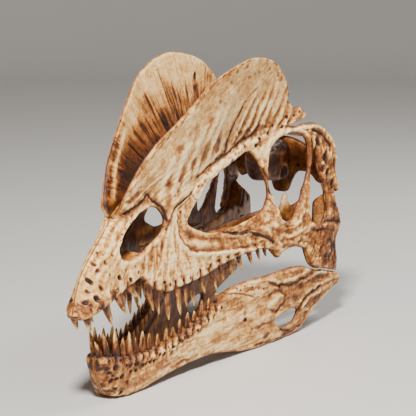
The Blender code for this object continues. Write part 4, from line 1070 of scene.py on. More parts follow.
def triangulated(outline, holes, spacing):
    """A fine even triangulation of the outline, less the holes. The outline's points come first."""
    low, high = outline.min(axis=0), outline.max(axis=0)
    xs = np.arange(low[0], high[0], spacing)
    ys = np.arange(low[1], high[1], spacing * 0.866)
    gx, gy = np.meshgrid(xs, ys)
    gx = gx + (np.arange(len(ys)) % 2)[:, None] * spacing / 2
    grid = np.stack([gx.ravel(), gy.ravel()], axis=1)
    grid += 0.12 * spacing * np.stack([noise(grid[:, 0] * 1.7, grid[:, 1] * 1.7, seed=1),
                                       noise(grid[:, 0] * 1.7, grid[:, 1] * 1.7, seed=2)], axis=1)
    grid = grid[inside(outline, grid)]
    loops = [outline, *holes]
    for loop in loops:
        grid = grid[distance_to(loop, np.roll(loop, -1, axis=0), grid) > 0.6 * spacing]
    for hole in holes:
        grid = grid[~inside(hole, grid)]
    points = np.vstack([*loops, grid])
    edges, start = [], len(outline)
    for hole in holes:
        edges += [(start + i, start + (i + 1) % len(hole)) for i in range(len(hole))]
        start += len(hole)
    verts, _, faces, *_ = delaunay_2d_cdt([Vector(p) for p in points.tolist()], edges,
                                          [list(range(len(outline)))], 1, 1e-6)
    flat = np.array([v[:] for v in verts])
    tris = np.array([f for f in faces if len(f) == 3])
    for hole in holes:
        tris = tris[~inside(hole, flat[tris].mean(axis=1))]
    a, b, c = (flat[tris[:, k]] for k in range(3))
    turn = (b[:, 0] - a[:, 0]) * (c[:, 1] - a[:, 1]) - (b[:, 1] - a[:, 1]) * (c[:, 0] - a[:, 0])
    tris[turn < 0] = tris[turn < 0][:, ::-1]
    return flat, tris


def edges_of(tris):
    """The three directed edges of every triangle."""
    return np.vstack([tris[:, [0, 1]], tris[:, [1, 2]], tris[:, [2, 0]]])


def boundary(tris):
    """Directed edges that only one triangle uses."""
    used = {(int(a), int(b)) for a, b in edges_of(tris)}
    return [e for e in used if (e[1], e[0]) not in used]


def neighbour_mean(values, edges, count, rounds):
    """Values smoothed over the mesh."""
    a, b = edges[:, 0], edges[:, 1]
    degree = np.bincount(a, minlength=count) + np.bincount(b, minlength=count)
    for _ in range(rounds):
        total = np.bincount(a, values[b], count) + np.bincount(b, values[a], count)
        values = 0.5 * values + 0.5 * total / np.maximum(degree, 1)
    return values


# How a plate's (u, v, height) become (x, y, z).
LIE = {"yzx": (2, 0, 1), "xyz": (0, 1, 2), "xzy": (0, 2, 1)}
EDGE_FADE = 3.0                       # relief fades out over this reach of an outline
NEAR_ROUNDS, WIDE_ROUNDS = 16, 90     # smoothing that small and broad hollows are measured against
RIM_SPACING, MOST_RIM_RINGS = 2.2, 12


def sheet(shape, outline, styles, low, high, low_relief, high_relief, lie="yzx", plane=Straight, holes=(),
          spacing=SPACING, solid_low=False, bone=""):
    """Adds a closed bone plate whose faces follow low(u, v) and high(u, v), with their relief."""
    edge_points = inset(outline, GAP / 2)
    clear = distance_to(outline, np.roll(outline, -1, axis=0), edge_points) > 0.9 * GAP / 2
    edge_points, styles = edge_points[clear], [style for style, free in zip(styles, clear) if free]
    along = plane.flat(edge_points[:, 0], edge_points[:, 1])
    loop = np.stack([along, edge_points[:, 1]], axis=1)
    flat, tris = triangulated(loop, holes, spacing)
    v = flat[:, 1]
    u = plane.bent(flat[:, 0], v)
    count = len(u)
    at = np.stack([u, v], axis=1)
    drops = np.zeros((2, count))
    starts, ends = edge_points, np.roll(edge_points, -1, axis=0)
    open_distance = np.full(count, 1e9)
    for style in dict.fromkeys(styles):
        index = [i for i, other in enumerate(styles) if other == style]
        reach, depth = EDGES.get(style, SUTURE_EDGE)
        d = distance_to(starts[index], ends[index], at)
        uneven = 1 + (0.3 * noise(u / 13, v / 13, seed=51) if reach > 2 else 0)
        sunk = quarter(d, reach * uneven, depth * uneven)
        drops = np.maximum(drops, [sunk, sunk * INNER_SHARE.get(style, 1)])
        if (reach, depth) == OPEN_EDGE:
            open_distance = np.minimum(open_distance, d)
    for hole in holes:
        drops = np.maximum(drops, quarter(distance_to(hole, np.roll(hole, -1, axis=0), at), *HOLE_EDGE))
    top, bottom = high(u, v), low(u, v)
    half = (top - bottom) / 2
    fade = smooth_step(distance_to(starts, ends, at), 0.0, EDGE_FADE)
    edges = edges_of(tris)
    sides = []
    for face, height, sign, relief_of in ((0, top, 1, high_relief), (1, bottom, -1, low_relief)):
        relief = relief_of(u, v, bone)
        bump = relief.height + (0.9 * bell(open_distance - 4.0, 2.2) if face == 0 else 0)
        bump = bump * fade
        form = bump - 0.6 * drops[face]
        near = neighbour_mean(form, edges, count, NEAR_ROUNDS)
        wide = neighbour_mean(near, edges, count, WIDE_ROUNDS)
        hollow = np.clip(near - form, -0.8, 1.2) + 0.6 * np.clip(wide - near, -1.4, 1.8)
        tone = relief.finished_tone(hollow)
        step = 0.6
        fn = high if face == 0 else low
        du = (fn(u + step, v) - fn(u - step, v)) / (2 * step)
        dv = (fn(u, v + step) - fn(u, v - step)) / (2 * step)
        normal = np.stack([-du, -dv, np.ones(count)], axis=1)
        normal /= np.linalg.norm(normal, axis=1)[:, None]
        sink = np.minimum(drops[face], half - LEAST_THICKNESS / 2)
        if face == 1 and solid_low:
            sink, bump = np.zeros(count), np.zeros(count)
        base = np.stack([u, v, height], axis=1)
        base[:, 2] -= sign * sink
        moved = base + sign * normal * bump[:, None]
        sides.append((moved, tone))
    gap = sides[0][0][:, 2] - sides[1][0][:, 2]
    thin = np.clip(LEAST_THICKNESS - gap, 0, None) / 2
    sides[0][0][:, 2] += thin
    sides[1][0][:, 2] -= thin
    order = list(LIE[lie])
    place = [s[0][:, order] for s in sides]
    flipped = lie == "xzy"
    upper, lower = (tris[:, ::-1], tris) if flipped else (tris, tris[:, ::-1])
    faces = [*map(tuple, upper), *map(tuple, lower + count)]
    verts, tones = [place[0], place[1]], [sides[0][1], sides[1][1]]
    rim_edges = boundary(tris)
    rim = sorted({i for e in rim_edges for i in e})
    index = {vert: k for k, vert in enumerate(rim)}
    outward = np.zeros((count, 2))
    for a, b in rim_edges:
        run = at[b] - at[a]
        for k in (a, b):
            outward[k] += (run[1], -run[0])
    outward = outward[rim] / np.maximum(np.linalg.norm(outward[rim], axis=1), 1e-9)[:, None]
    rim_height = float(np.percentile(gap[rim], 80))
    rings = int(np.clip(round(rim_height / RIM_SPACING), 0, MOST_RIM_RINGS))
    scoop = np.clip(0.16 * (gap[rim] - 8), 0, 4.5)
    levels = [np.array(rim)]
    start = 2 * count
    for number in range(1, rings + 1):
        t = number / (rings + 1)
        ring_at = sides[0][0][rim] * (1 - t) + sides[1][0][rim] * t
        bumps = fbm(ring_at[:, 0] + 0.7 * ring_at[:, 2], ring_at[:, 1], 7, 3, seed=52)
        ring_at[:, :2] -= outward * (math.sin(math.pi * t) * (scoop + 0.5 + 0.5 * bumps))[:, None]
        verts.append(ring_at[:, order])
        tones.append(np.clip(tones[0][rim] * (1 - t) + tones[1][rim] * t, 0.24, 0.42) - 0.12 * bumps)
        levels.append(np.arange(len(rim)) + start)
        start += len(rim)
    levels.append(np.array(rim) + count)
    for a, b in rim_edges:
        i, j = index[a], index[b]
        for above, under in zip(levels[:-1], levels[1:]):
            quad = (above[j], above[i], under[i], under[j])
            faces.append(quad[::-1] if flipped else quad)
    shape.add(np.vstack(verts), faces, np.concatenate(tones))


def tube_faces(rings, sides):
    """The quads between closed rings of points."""
    steps = [(i, (i + 1) % sides) for i in range(sides)]
    return [(low + i, low + j, low + sides + j, low + sides + i)
            for low in range(0, (rings - 1) * sides, sides) for i, j in steps]


def turned(quads):
    """The same quads, seen from their other side."""
    return [(a, d, c, b) for a, b, c, d in quads]


def tooth(shape, root, length, lean, width, down, seed, pale):
    """A curved, slightly flattened crown with two cutting edges, its root sunk in the bone."""
    up = -1 if down else 1
    t = np.linspace(-TOOTH_ROOT / length, 1, TOOTH_RINGS)
    turn = np.radians(lean + 5 * float(noise(seed * 3.1, 0.5, seed=3))) * (0.72 + 0.5 * np.clip(t, 0, 1))
    steps = np.diff(t, prepend=t[0]) * length
    back = np.cumsum(np.sin(turn) * steps)
    rise = np.cumsum(np.cos(turn) * steps) * up
    body = np.clip(1 - np.clip(t, 0, 1) ** 1.45, 0.0, 1) ** 0.78
    radius = width / 2 * (0.10 + 0.90 * body) * (1 + 0.10 * bell(t - 0.05, 0.12))
    radius[-1] = width * 0.02
    radius[-2] *= 0.8
    around = np.linspace(0, 2 * math.pi, TOOTH_SIDES, endpoint=False)
    round_y, round_x = np.cos(around), np.sin(around)
    ring_y = round_y * (1 + 0.07 * np.abs(round_y) ** 6)
    ring_x = round_x * TOOTH_FLATNESS
    grooves = 1 + 0.035 * np.sin(around * 7 + seed)
    verts, tones = [], []
    for k in range(TOOTH_RINGS):
        tilt = turn[k]
        y = root[1] + back[k] + ring_y * radius[k] * math.cos(tilt) * grooves
        z = root[2] + rise[k] - up * ring_y * radius[k] * math.sin(tilt) * grooves
        x = root[0] + ring_x * radius[k] * grooves
        verts.append(np.stack([x, y, z], axis=1))
        streak = fbm(round_y * 5 + seed * 9, round_x * 5, 3.0, 3, c=t[k] * length / 5, seed=5)
        fleck = fbm(round_y * 7 + seed * 5, round_x * 7, 4.0, 3, c=t[k] * length, seed=6)
        dark = 0.56 - 0.40 * smooth_step(t[k], 0.30, 0.95) + 0.22 * bell(t[k] - 0.02, 0.14)
        tones.append(dark - pale + 0.55 * streak + 0.36 * smooth_step(fleck, 0.12, 0.5))
    count = TOOTH_RINGS * TOOTH_SIDES
    faces = tube_faces(TOOTH_RINGS, TOOTH_SIDES)
    faces += [tuple(range(TOOTH_SIDES))[::-1], tuple(range(count - TOOTH_SIDES, count))]
    shape.add(np.vstack(verts), faces if down else [face[::-1] for face in faces], np.concatenate(tones))


def teeth(shape, row, seam, outer, down, pale):
    """A row of teeth, each a little longer or shorter and wider than its neighbour."""
    for number, (y, length, lean, width) in enumerate(tooth_row(row)):
        z = float(margin_height(seam, y))
        into_bone = TOOTH_ROOT * (1 if down else -1)
        x = max(float(outer(y - width / 2, z + into_bone / 2)) - TOOTH_DEPTH_IN_BONE, width / 2)
        length = length * (1 + 0.03 * float(noise(number * 5.7, 1.3, seed=8)))
        width = width * (1.12 + 0.08 * float(noise(number * 3.3, 4.3, seed=8)))
        lead = math.tan(math.radians(lean)) * TOOTH_ROOT
        seed = number + (40 if down else 90)
        tooth(shape, (x, y - lead, z + into_bone), length, lean, width, down, seed, pale)


# ---------------------------------------------------------------- material

# Bone colours from pale to nearly black, by tone.
BONE_COLOURS = ((0.0, (0.91, 0.665, 0.335)), (0.12, (0.79, 0.468, 0.158)), (0.27, (0.57, 0.265, 0.058)),
                (0.43, (0.32, 0.112, 0.019)), (0.58, (0.175, 0.049, 0.009)), (0.76, (0.074, 0.018, 0.005)),
                (1.0, (0.018, 0.006, 0.003)))


def bone_material():
    """Bone coloured by the mesh's tone, with fine mottling, pores and bump."""
    material = bpy.data.materials.new("fossil_bone")
    material.use_nodes = True
    nodes, links = material.node_tree.nodes, material.node_tree.links
    shader = nodes["Principled BSDF"]
    place = nodes.new("ShaderNodeTexCoord")

    def texture(scale, detail, rough=0.55):
        node = nodes.new("ShaderNodeTexNoise")
        node.inputs["Scale"].default_value = scale
        node.inputs["Detail"].default_value = detail
        node.inputs["Roughness"].default_value = rough
        links.new(place.outputs["Object"], node.inputs["Vector"])
        return node.outputs["Fac"]

    def math_node(kind, a, b, clamp=False):
        node = nodes.new("ShaderNodeMath")
        node.operation = kind
        node.use_clamp = clamp
        for socket, value in zip(node.inputs, (a, b)):
            if isinstance(value, (int, float)):
                socket.default_value = value
            else:
                links.new(value, socket)
        return node.outputs[0]

    def remap(value, low, high, to_low, to_high):
        node = nodes.new("ShaderNodeMapRange")
        for name, number in (("From Min", low), ("From Max", high), ("To Min", to_low), ("To Max", to_high)):
            node.inputs[name].default_value = number
        links.new(value, node.inputs["Value"])
        return node.outputs["Result"]

    tone = nodes.new("ShaderNodeAttribute")
    tone.attribute_name = "tone"
    broad = texture(26, 5)
    middle = texture(95, 6, 0.62)
    speckle = texture(190, 4, 0.7)
    fine = texture(420, 6, 0.6)
    pores = nodes.new("ShaderNodeTexVoronoi")
    pores.inputs["Scale"].default_value = 330
    links.new(place.outputs["Object"], pores.inputs["Vector"])
    pore_mask = remap(pores.outputs["Distance"], 0.10, 0.32, 1.0, 0.0)
    pore_zone = remap(middle, 0.50, 0.66, 0.0, 1.0)
    pore = math_node("MULTIPLY", pore_mask, pore_zone)
    value = tone.outputs["Fac"]
    mottling = ((broad, 0.3, 0.7, -0.08, 0.08), (middle, 0.3, 0.7, -0.09, 0.09),
                (speckle, 0.34, 0.68, -0.045, 0.06), (fine, 0.3, 0.7, -0.09, 0.10))
    for source, *span in mottling:
        value = math_node("ADD", value, remap(source, *span))
    value = math_node("ADD", value, math_node("MULTIPLY", pore, 0.22), True)
    ramp = nodes.new("ShaderNodeValToRGB")
    while len(ramp.color_ramp.elements) < len(BONE_COLOURS):
        ramp.color_ramp.elements.new(0.5)
    for element, (position, colour) in zip(ramp.color_ramp.elements, BONE_COLOURS):
        element.position = position
        element.color = (*colour, 1)
    links.new(value, ramp.inputs["Fac"])
    links.new(ramp.outputs["Color"], shader.inputs["Base Color"])
    links.new(remap(middle, 0.3, 0.7, 0.32, 0.52), shader.inputs["Roughness"])
    shader.inputs["Specular IOR Level"].default_value = 0.4
    relief = math_node("ADD", math_node("MULTIPLY", fine, 0.55), math_node("MULTIPLY", middle, 0.8))
    relief = math_node("SUBTRACT", relief, math_node("MULTIPLY", pore, 0.55))
    bump = nodes.new("ShaderNodeBump")
    bump.inputs["Strength"].default_value = 0.9
    bump.inputs["Distance"].default_value = 0.0014
    links.new(relief, bump.inputs["Height"])
    links.new(bump.outputs["Normal"], shader.inputs["Normal"])
    return material


# ---------------------------------------------------------------- pieces

MATERIAL = bone_material()


def held_within(values, limit, soft):
    """Values eased back below a limit on their size, over the last soft millimetres."""
    size = np.abs(values)
    over = np.clip(size - (limit - soft), 0, None)
    return np.sign(values) * (np.minimum(size, limit - soft) + soft * np.tanh(over / soft))


def piece(node, shape, mirror=False):
    """The object that replaces a node of the frame, in metres, inside the box that the frame fills."""
    verts, faces, tones = shape.arrays()
    verts[:, 1] -= LENGTH / 2
    verts[:, 2] -= GAP / 2
    for axis, (limit, soft) in enumerate(BOX_LIMITS):
        verts[:, axis] = held_within(verts[:, axis], limit, soft)
    if mirror:
        verts[:, 0] *= -1
        faces = [f[::-1] for f in faces]
    verts[:, 2] = np.maximum(verts[:, 2], 0.0)
    mesh = bpy.data.meshes.new("bone_" + node)
    mesh.from_pydata((verts * MM).tolist(), [], faces)
    mesh.polygons.foreach_set("use_smooth", [True] * len(mesh.polygons))
    attribute = mesh.attributes.new("tone", "FLOAT", "POINT")
    attribute.data.foreach_set("value", tones.astype(np.float32))
    mesh.materials.append(MATERIAL)
    mesh.update()
    obj = bpy.data.objects.new("bone_" + node, mesh)
    bpy.context.scene.collection.objects.link(obj)
    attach(obj, "root")
    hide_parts(node)


def pair(name, shape):
    """The left bone, kept on its own side of the midline, and its mirror image."""
    for verts in shape.verts:
        verts[:, 0] = np.maximum(verts[:, 0], GAP / 2)
    piece(name + "_L", shape)
    piece(name + "_R", shape, mirror=True)


def build_walls():
    """The bones of the cranium's two sides, with the upper teeth."""
    inner = {"premaxilla": midline, "quadrate": quadrate_inner}
    for name, order in WALL_BONES.items():
        shape = Shape()
        points, styles = outline_of(order)
        plane = Rounded(SNOUT_Z, SNOUT_Y, SNOUT_ROUND) if name == "premaxilla" else Straight
        sheet(shape, points, styles, inner.get(name, wall_inner), wall_outer, inner_relief, wall_relief,
              plane=plane, solid_low=name == "premaxilla", bone=name)
        if name == "premaxilla":
            teeth(shape, PREMAXILLA_TEETH, "premaxilla_teeth", wall_outer, True, 0.10)
        if name == "maxilla":
            teeth(shape, MAXILLA_TEETH, "maxilla_teeth", wall_outer, True, 0.04)
        pair(name, shape)


def build_jaw():
    """The bones of the lower jaw, with its teeth."""
    for name, order in JAW_BONES.items():
        shape = Shape()
        points, styles = outline_of(order)
        plane = Rounded(CHIN_Z, CHIN_Y, CHIN_ROUND) if name == "dentary" else Straight
        sheet(shape, points, styles, jaw_inner, jaw_outer, jaw_inner_relief, jaw_relief,
              plane=plane, bone=name)
        if name == "dentary":
            teeth(shape, DENTARY_TEETH, "dentary_teeth", jaw_outer, False, -0.02)
        pair(name, shape)


def mirrored(half):
    """Half an outline, and its mirror image across the midline."""
    return list(half) + [(-x, other) for x, other in reversed(half) if x > 0]


def closed_curve(corners):
    """A closed outline that curves through its corners."""
    return flow([*corners, corners[0]])[:-1]


def closed_straight(corners):
    """A closed outline with straight sides."""
    return np.vstack([flow([a, b])[:-1] for a, b in zip(corners, corners[1:] + corners[:1])])


def level(height):
    """A flat face at a height."""
    return lambda u, v: np.full_like(u, height)


def bone_plate(name, points, style, low, high, low_relief, high_relief, **options):
    """A shape that holds one plate whose edges are all rounded alike."""
    shape = Shape()
    sheet(shape, points, [style] * len(points), low, high, low_relief, high_relief, bone=name, **options)
    return shape


def roof_half_width(y):
    """How wide the roof is between the side walls' inner faces."""
    z = roof_height(y)
    return np.minimum(wall_inner(y, z), wall_inner(y, z - ROOF_THICKNESS)) - ROOF_CLEARANCE


def build_roof():
    """The roof between the crests, in three bones."""
    def side(first, past, step):
        return [(float(roof_half_width(y)), y) for y in range(first, past, step)]

    halves = {
        "nasal_roof": [(0, 158), *side(160, 331, 17), (0, 330)],
        "frontal": [(0, 331), *side(331, 532, 20), (34, 533), (22, 526), (12, 531), (0, 532)],
        "parietal": [(0, 533), (12, 532), (20, 529), (15, 545), (14, 560), (24, 574), (46, 580), (72.4, 578),
                     (72.4, 586), (60, 592), (50, 597), (20, 597), (0, 595)],
    }
    for seed, (name, half) in enumerate(halves.items()):
        style, top = ("finger", parietal_relief) if name == "parietal" else ("", roof_relief)
        piece(name, bone_plate(name, closed_straight(mirrored(half)), style,
                               lambda u, v: roof_height(v) - ROOF_THICKNESS, lambda u, v: roof_height(v),
                               plain_relief(200 + seed, 0.5), top, lie="xyz", spacing=1.8))


def ring(cx, cy, radius, count=24):
    """A circle of points."""
    a = np.linspace(0, 2 * math.pi, count, endpoint=False)
    return np.stack([cx + radius * np.cos(a), cy + radius * np.sin(a)], axis=1)


def ball(shape, centre, radii, tone, seed, dents=0.08):
    """A lumpy closed ball."""
    rings, sides = 22, 32
    lat = np.linspace(-math.pi / 2, math.pi / 2, rings)[1:-1]
    lon = np.linspace(0, 2 * math.pi, sides, endpoint=False)
    la, lo = np.meshgrid(lat, lon, indexing="ij")
    d = np.stack([np.cos(la) * np.cos(lo), np.cos(la) * np.sin(lo), np.sin(la)], axis=-1).reshape(-1, 3)
    d = np.vstack([d, [(0, 0, -1), (0, 0, 1)]])
    k = 1 + dents * fbm(d[:, 0] * 10, d[:, 1] * 10, 6, 3, c=d[:, 2] * 10, seed=seed)
    faces = tube_faces(len(lat), sides)
    low, high = len(d) - 2, len(d) - 1
    last = (len(lat) - 1) * sides
    for j in range(sides):
        n = (j + 1) % sides
        faces.append((low, n, j))
        faces.append((high, last + j, last + n))
    tones = tone + 0.3 * fbm(d[:, 0] * 10, d[:, 1] * 10, 8, 3, c=d[:, 2] * 10, seed=seed + 1)
    shape.add(np.asarray(centre) + d * np.asarray(radii) * k[:, None], faces, tones)


def build_braincase():
    """A tube of bone under the roof, dark with stain and painted shade, with an ear opening in each side that
    is a dent painted nearly black as painted shade.
    """
    shape = Shape()
    rings, sides = 72, 96
    t = np.linspace(0, 1, rings)
    y = BRAINCASE_Y + BRAINCASE_LENGTH * t
    half = smooth_curve(t, (0, 0.08, 0.3, 0.7, 0.93, 1), (8, 14, 17, 22, 22, 17))
    low = smooth_curve(t, (0, 0.1, 0.4, 0.8, 1), (238, 229, 222, 217, 220))
    high = smooth_curve(t, (0, 0.1, 0.4, 0.8, 1), (272, 279, 281, 283, 279))
    a = np.linspace(0, 2 * math.pi, sides, endpoint=False)
    c, s = np.cos(a), np.sin(a)
    shape_c, shape_s = np.sign(c) * np.abs(c) ** 0.7, np.sign(s) * np.abs(s) ** 0.7
    x = half[:, None] * shape_c
    z = ((low + high) / 2)[:, None] + ((high - low) / 2)[:, None] * shape_s
    yy = np.broadcast_to(y[:, None], x.shape)
    swell = 2.4 * fbm(x, yy, 11, 4, c=z, seed=301)
    # dark all over: brown stain and painted shade of the head's inside
    tone = 0.72 + 0.45 * fbm(x, yy, 12, 4, c=z, seed=302)
    r = np.hypot(yy - EAR_Y, z - EAR_Z)
    side = smooth_step(np.abs(c), 0.35, 0.7)
    swell = swell - 7.5 * side * np.exp(-((r / 8.5) ** 4)) + 1.8 * side * bell(r - 12.5, 2.6)
    # the ear opening's dent painted nearly black as painted shade, with a paler lip round it
    tone = tone + 0.7 * side * np.exp(-((r / 8.0) ** 4)) - 0.34 * side * bell(r - 12.0, 2.6)
    ledge = bell(z - 262, 3.5) * side
    swell, tone = swell + 1.6 * ledge, tone - 0.22 * ledge
    x = np.clip(x + swell * shape_c, -BRAINCASE_HALF, BRAINCASE_HALF)
    z = np.clip(z + swell * shape_s, BRAINCASE_LOW, BRAINCASE_HIGH)
    verts = np.stack([x, yy, z], axis=-1).reshape(-1, 3)
    faces = turned(tube_faces(rings, sides))
    verts = np.vstack([verts, [(0, y[0], (low[0] + high[0]) / 2), (0, y[-1], (low[-1] + high[-1]) / 2)]])
    first, last = len(verts) - 2, (rings - 1) * sides
    for j in range(sides):
        n = (j + 1) % sides
        faces += [(first, j, n), (first + 1, last + n, last + j)]
    shape.add(verts, faces, np.append(tone.ravel(), (0.6, 0.6)))
    piece("braincase", shape)


def occiput_relief(x, z, bone):
    """The back of the head: rim of the spinal opening, crest above it, swept side processes and knobs."""
    r = Relief(x, z, 1.2, seed=330, soft=0.4)
    r.roughen(1.6, 1.4, 0.7, 331)
    r.tone += 0.30
    r.mottle(0.20, 16, -0.2, 0.5, seed=332)
    out = np.hypot(x, z - FORAMEN_Z)
    r.height += 2.2 * bell(out - 13.5, 2.6)
    r.tone += 0.5 * bell(out - 10, 2.0) - 0.12 * bell(out - 14, 2.5)
    r.line([(0, 266), (1, 280)], 3.2, 2.6, -0.1)
    for side in (-1, 1):
        r.line([(side * 13, 262), (side * 34, 266), (side * 54, 256), (side * 70, 240)], 4.5, 2.4, -0.14)
        r.line([(side * 14, 244), (side * 34, 244), (side * 56, 232), (side * 70, 220)], 4.0, 2.0, -0.12)
        r.line([(side * 16, 254), (side * 36, 254), (side * 56, 244)], 7.0, -1.8, 0.0)
        r.blotch(side * 34, 252, 15, 6, 0.22, turn=-side * 10, ragged=1.3)
        r.line([(side * 6, 272), (side * 20, 273), (side * 32, 268)], 5.0, -1.2, 0.0)
        r.blotch(side * 20, 272, 12, 5, 0.2, ragged=1.3)
        r.line([(side * 8, 210), (side * 8, 199)], 3.6, 2.6, -0.1)
        r.line([(side * 17, 222), (side * 14, 206)], 2.2, -1.6, 0.25)
        r.line([(side * 40, 262), (side * 42, 250), (side * 38, 238)], 1.4, -0.9, 0.5)
        r.pit(side * 13.5, 238, 2.0, 2.2, 0.7)
        r.pit(side * 19, 232, 1.7, 1.8, 0.6)
        r.pit(side * 27, 236, 1.6, 1.4, 0.5)
    r.line([(0, 212), (0, 197)], 2.0, -2.0, 0.35)
    return r


def parietal_relief(x, y, bone):
    """The roof behind the crests: a ridge along the middle and two that sweep out at the back."""
    r = Relief(x, y, 1.2, seed=212, soft=0.4)
    r.roughen(1.4, 1.3, 0.7, 213)
    r.tone += 0.28
    r.mottle(0.20, 16, -0.2, 0.5, seed=214)
    r.line([(0, 533), (0, 560), (0, 592)], 3.0, 2.8, -0.14)
    for side in (-1, 1):
        r.line([(side * 3, 560), (side * 20, 578), (side * 44, 587), (side * 68, 583)], 4.0, 2.4, -0.14)
        r.line([(side * 7, 540), (side * 8, 556), (side * 20, 570)], 4.5, -1.4, 0.0)
        r.blotch(side * 10, 556, 6, 14, 0.2, ragged=1.3)
    return r


def roof_relief(x, y, bone):
    """The floor of the trough between the crests, with its middle suture and grain that runs along it."""
    r = Relief(x, y, 0.9, seed=220, soft=0.3)
    r.roughen(1.2, 0.8, 0.35, 221)
    side = np.abs(x) / np.maximum(roof_half_width(y), 1)
    r.tone += 0.32 + 0.22 * smooth_step(side, 0.5, 1.0) + 0.12 * (1 - smooth_step(y, 200, 330))
    r.drift(0.20, 5, 90, 6, 222)
    r.height += 0.5 * fbm(x, y / 7, 3.0, 3, seed=223)
    r.tone -= 0.10 * fbm(x, y / 7, 3.0, 3, seed=223)
    r.height += 1.6 * bell(side - 0.55, 0.25)
    r.line([(0.8 * math.sin(0.9 * k), 158 + 12.5 * k) for k in range(31)], 1.3, -1.1, 0.6)
    for k in range(12):
        across = (0.62 if k % 2 else -0.58) * float(roof_half_width(190 + 28 * k))
        r.pit(across, 190 + 28 * k, 1.7, 1.6, 0.6, long=1.5, turn=90)
    return r


def build_occiput():
    """The plate at the back of the head, with the spinal opening and the condyle under it."""
    half = [(0, 284), (24, 281), (44, 272), (64, 257), (78.8, 241), (79.6, 224), (72, 213), (62, 216),
            (48, 228), (30, 228), (20, 214), (12, 196), (0, 193)]

    def back(x, z):
        return OCCIPUT_BACK + 6 * smooth_step(np.abs(x), 30, 70) - 2 * bell(z - 262, 6) * bell(x, 14)

    shape = bone_plate("occiput", closed_curve(mirrored(half)), "finger", level(OCCIPUT_FRONT), back,
                       plain_relief(320, 0.5), occiput_relief, lie="xzy",
                       holes=[ring(0, FORAMEN_Z, FORAMEN_RADIUS)], spacing=1.8)
    ball(shape, CONDYLE, CONDYLE_RADII, 0.22, 340)
    piece("occiput", shape)


def build_vomer():
    """The plate along the middle of the palate's front."""
    half = [(0, 137), (6, 141), (9, 170), (9, 240), (10, 302), (0, 302)]
    piece("vomer", bone_plate("vomer", closed_straight(mirrored(half)), "", level(VOMER_LOW),
                              level(VOMER_HIGH), plain_relief(350, 0.45), plain_relief(351, 0.5),
                              lie="xyz", spacing=2.0))


def build_palatines():
    """The arched plates beside the vomer."""
    rows = np.array((196, 240, 290, 340, 385), float)
    outer = smooth_curve(rows, CHEEK_Y, CHEEK_X) - 17
    corners = [(12, 250), (20, 215)] + [(float(x), float(y)) for x, y in zip(outer, rows)]
    corners += [(40, 392), (24, 372), (19, 330), (14, 302)]

    def arch(u, v):
        return 168 + 10 * smooth_step(-u, -50, -15)

    pair("palatine", bone_plate("palatine", closed_curve(corners), "finger", arch,
                                lambda u, v: arch(u, v) + 5.5, plain_relief(360, 0.4), plain_relief(361, 0.5),
                                lie="xyz", spacing=2.0))


def build_pterygoids():
    """The upright plates of the rear palate, which show through the openings of the side."""
    front = 305.6  # the closing curve swells 3.3 mm past it, just short of the vomer's end
    corners = [(front, 168), (360, 171), (420, 164), (456, 146), (484, 150), (505, 164), (530, 158),
               (558, 138), (564, 160), (562, 188), (538, 184), (529, 203), (519, 201), (508, 182), (470, 188),
               (400, 184), (350, 181), (front, 178)]

    def face(u, v):
        return smooth_curve(u, (303, 400, 470, 530, 564), (12, 17, 30, 40, 50))

    def prong_painted_light(u, v, bone):
        r = plain_relief(371, 0.52)(u, v, bone)
        # the prong's upper rear tip painted paler: painted light on an otherwise shaded inner plate
        r.tone -= 0.42 * smooth_step(v, 178, 194) * smooth_step(u, 500, 515)
        return r

    pair("pterygoid", bone_plate("pterygoid", closed_curve(corners), "finger", lambda u, v: face(u, v) - 6,
                                 face, plain_relief(370, 0.5), prong_painted_light, spacing=1.8))


# ---------------------------------------------------------------- stage

FLOOR_PROFILE = [(0.0, 0.0), (3.0, 0.0), (3.6, 0.10), (4.0, 0.42), (4.2, 1.0), (4.25, 3.2)]  # reach, height
FLOOR_SIDES = 96
FLOOR_CLEARANCE = 0.0003
FLOOR_COLOUR = (0.62, 0.61, 0.59, 1)
LIGHT_TARGET = Vector((0, 0, 0.2))
# Area lights: name, azimuth, elevation, distance, size, power and colour.
LIGHTS = (("key", 24, 50, 2.4, 0.35, 126, (1.0, 0.96, 0.91)),
          ("fill", 84, 20, 2.6, 1.2, 8, (0.96, 0.97, 1.0)),
          ("rim", 150, 46, 2.2, 0.8, 36, (1.0, 0.97, 0.93)))
SKY_COLOUR, SKY_STRENGTH = (0.86, 0.88, 0.92, 1), 0.07
CAMERA_TARGET = Vector((0.22122, -0.33327, 0.30325))
CAMERA_AZIMUTH, CAMERA_ELEVATION, CAMERA_DISTANCE = 30, 12.04, 1.8001
FOCAL_PIXELS, PICTURE_PIXELS, SENSOR_MM = 1540.28, 416, 36


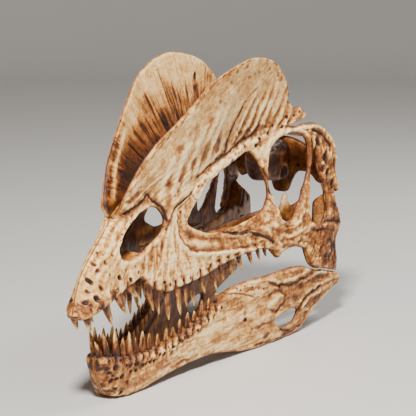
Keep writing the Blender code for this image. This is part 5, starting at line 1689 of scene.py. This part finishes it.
def build_stage():
    """A round pale floor that curves up into a wall on every side."""
    profile = flow(FLOOR_PROFILE, 0.2)[1:]
    turns = np.linspace(0, 2 * math.pi, FLOOR_SIDES, endpoint=False)
    verts = [(reach * math.cos(a), reach * math.sin(a), z - FLOOR_CLEARANCE)
             for reach, z in profile for a in turns]
    faces = [tuple(range(FLOOR_SIDES)), *turned(tube_faces(len(profile), FLOOR_SIDES))]
    mesh = bpy.data.meshes.new("floor")
    mesh.from_pydata(verts, [], faces)
    mesh.polygons.foreach_set("use_smooth", [True] * len(faces))
    floor = bpy.data.objects.new("floor", mesh)
    material = bpy.data.materials.new("floor")
    material.use_nodes = True
    shader = material.node_tree.nodes["Principled BSDF"]
    shader.inputs["Base Color"].default_value = FLOOR_COLOUR
    shader.inputs["Roughness"].default_value = 0.55
    mesh.materials.append(material)
    bpy.context.scene.collection.objects.link(floor)


def aim(name, data, target, azimuth, elevation, distance):
    """Puts a light or a camera round from the snout and up, in degrees, and turns it to the target."""
    a, e = math.radians(azimuth), math.radians(elevation)
    ray = Vector((math.sin(a) * math.cos(e), -math.cos(a) * math.cos(e), math.sin(e)))
    obj = bpy.data.objects.new(name, data)
    obj.location = target + ray * distance
    obj.rotation_euler = (-ray).to_track_quat("-Z", "Y").to_euler()
    bpy.context.scene.collection.objects.link(obj)
    return obj


def build_lights():
    """The area lights, aimed at the skull, and a faint sky."""
    for name, azimuth, elevation, distance, size, power, colour in LIGHTS:
        light = bpy.data.lights.new(name, "AREA")
        light.shape = "SQUARE"
        light.size = size
        light.energy = power
        light.color = colour
        aim(name, light, LIGHT_TARGET, azimuth, elevation, distance)
    world = bpy.data.worlds.new("studio")
    bpy.context.scene.world = world
    world.use_nodes = True
    world.node_tree.nodes["Background"].inputs["Color"].default_value = SKY_COLOUR
    world.node_tree.nodes["Background"].inputs["Strength"].default_value = SKY_STRENGTH


def build_camera():
    """The camera from the front left, as in the photo."""
    camera = bpy.data.cameras.new("camera")
    camera.sensor_width = SENSOR_MM
    camera.lens = FOCAL_PIXELS / PICTURE_PIXELS * SENSOR_MM
    bpy.context.scene.camera = aim("camera", camera, CAMERA_TARGET, CAMERA_AZIMUTH, CAMERA_ELEVATION,
                                   CAMERA_DISTANCE)


build_camera()
build_lights()
build_stage()
build_walls()
build_jaw()
build_roof()
build_braincase()
build_occiput()
build_vomer()
build_palatines()
build_pterygoids()
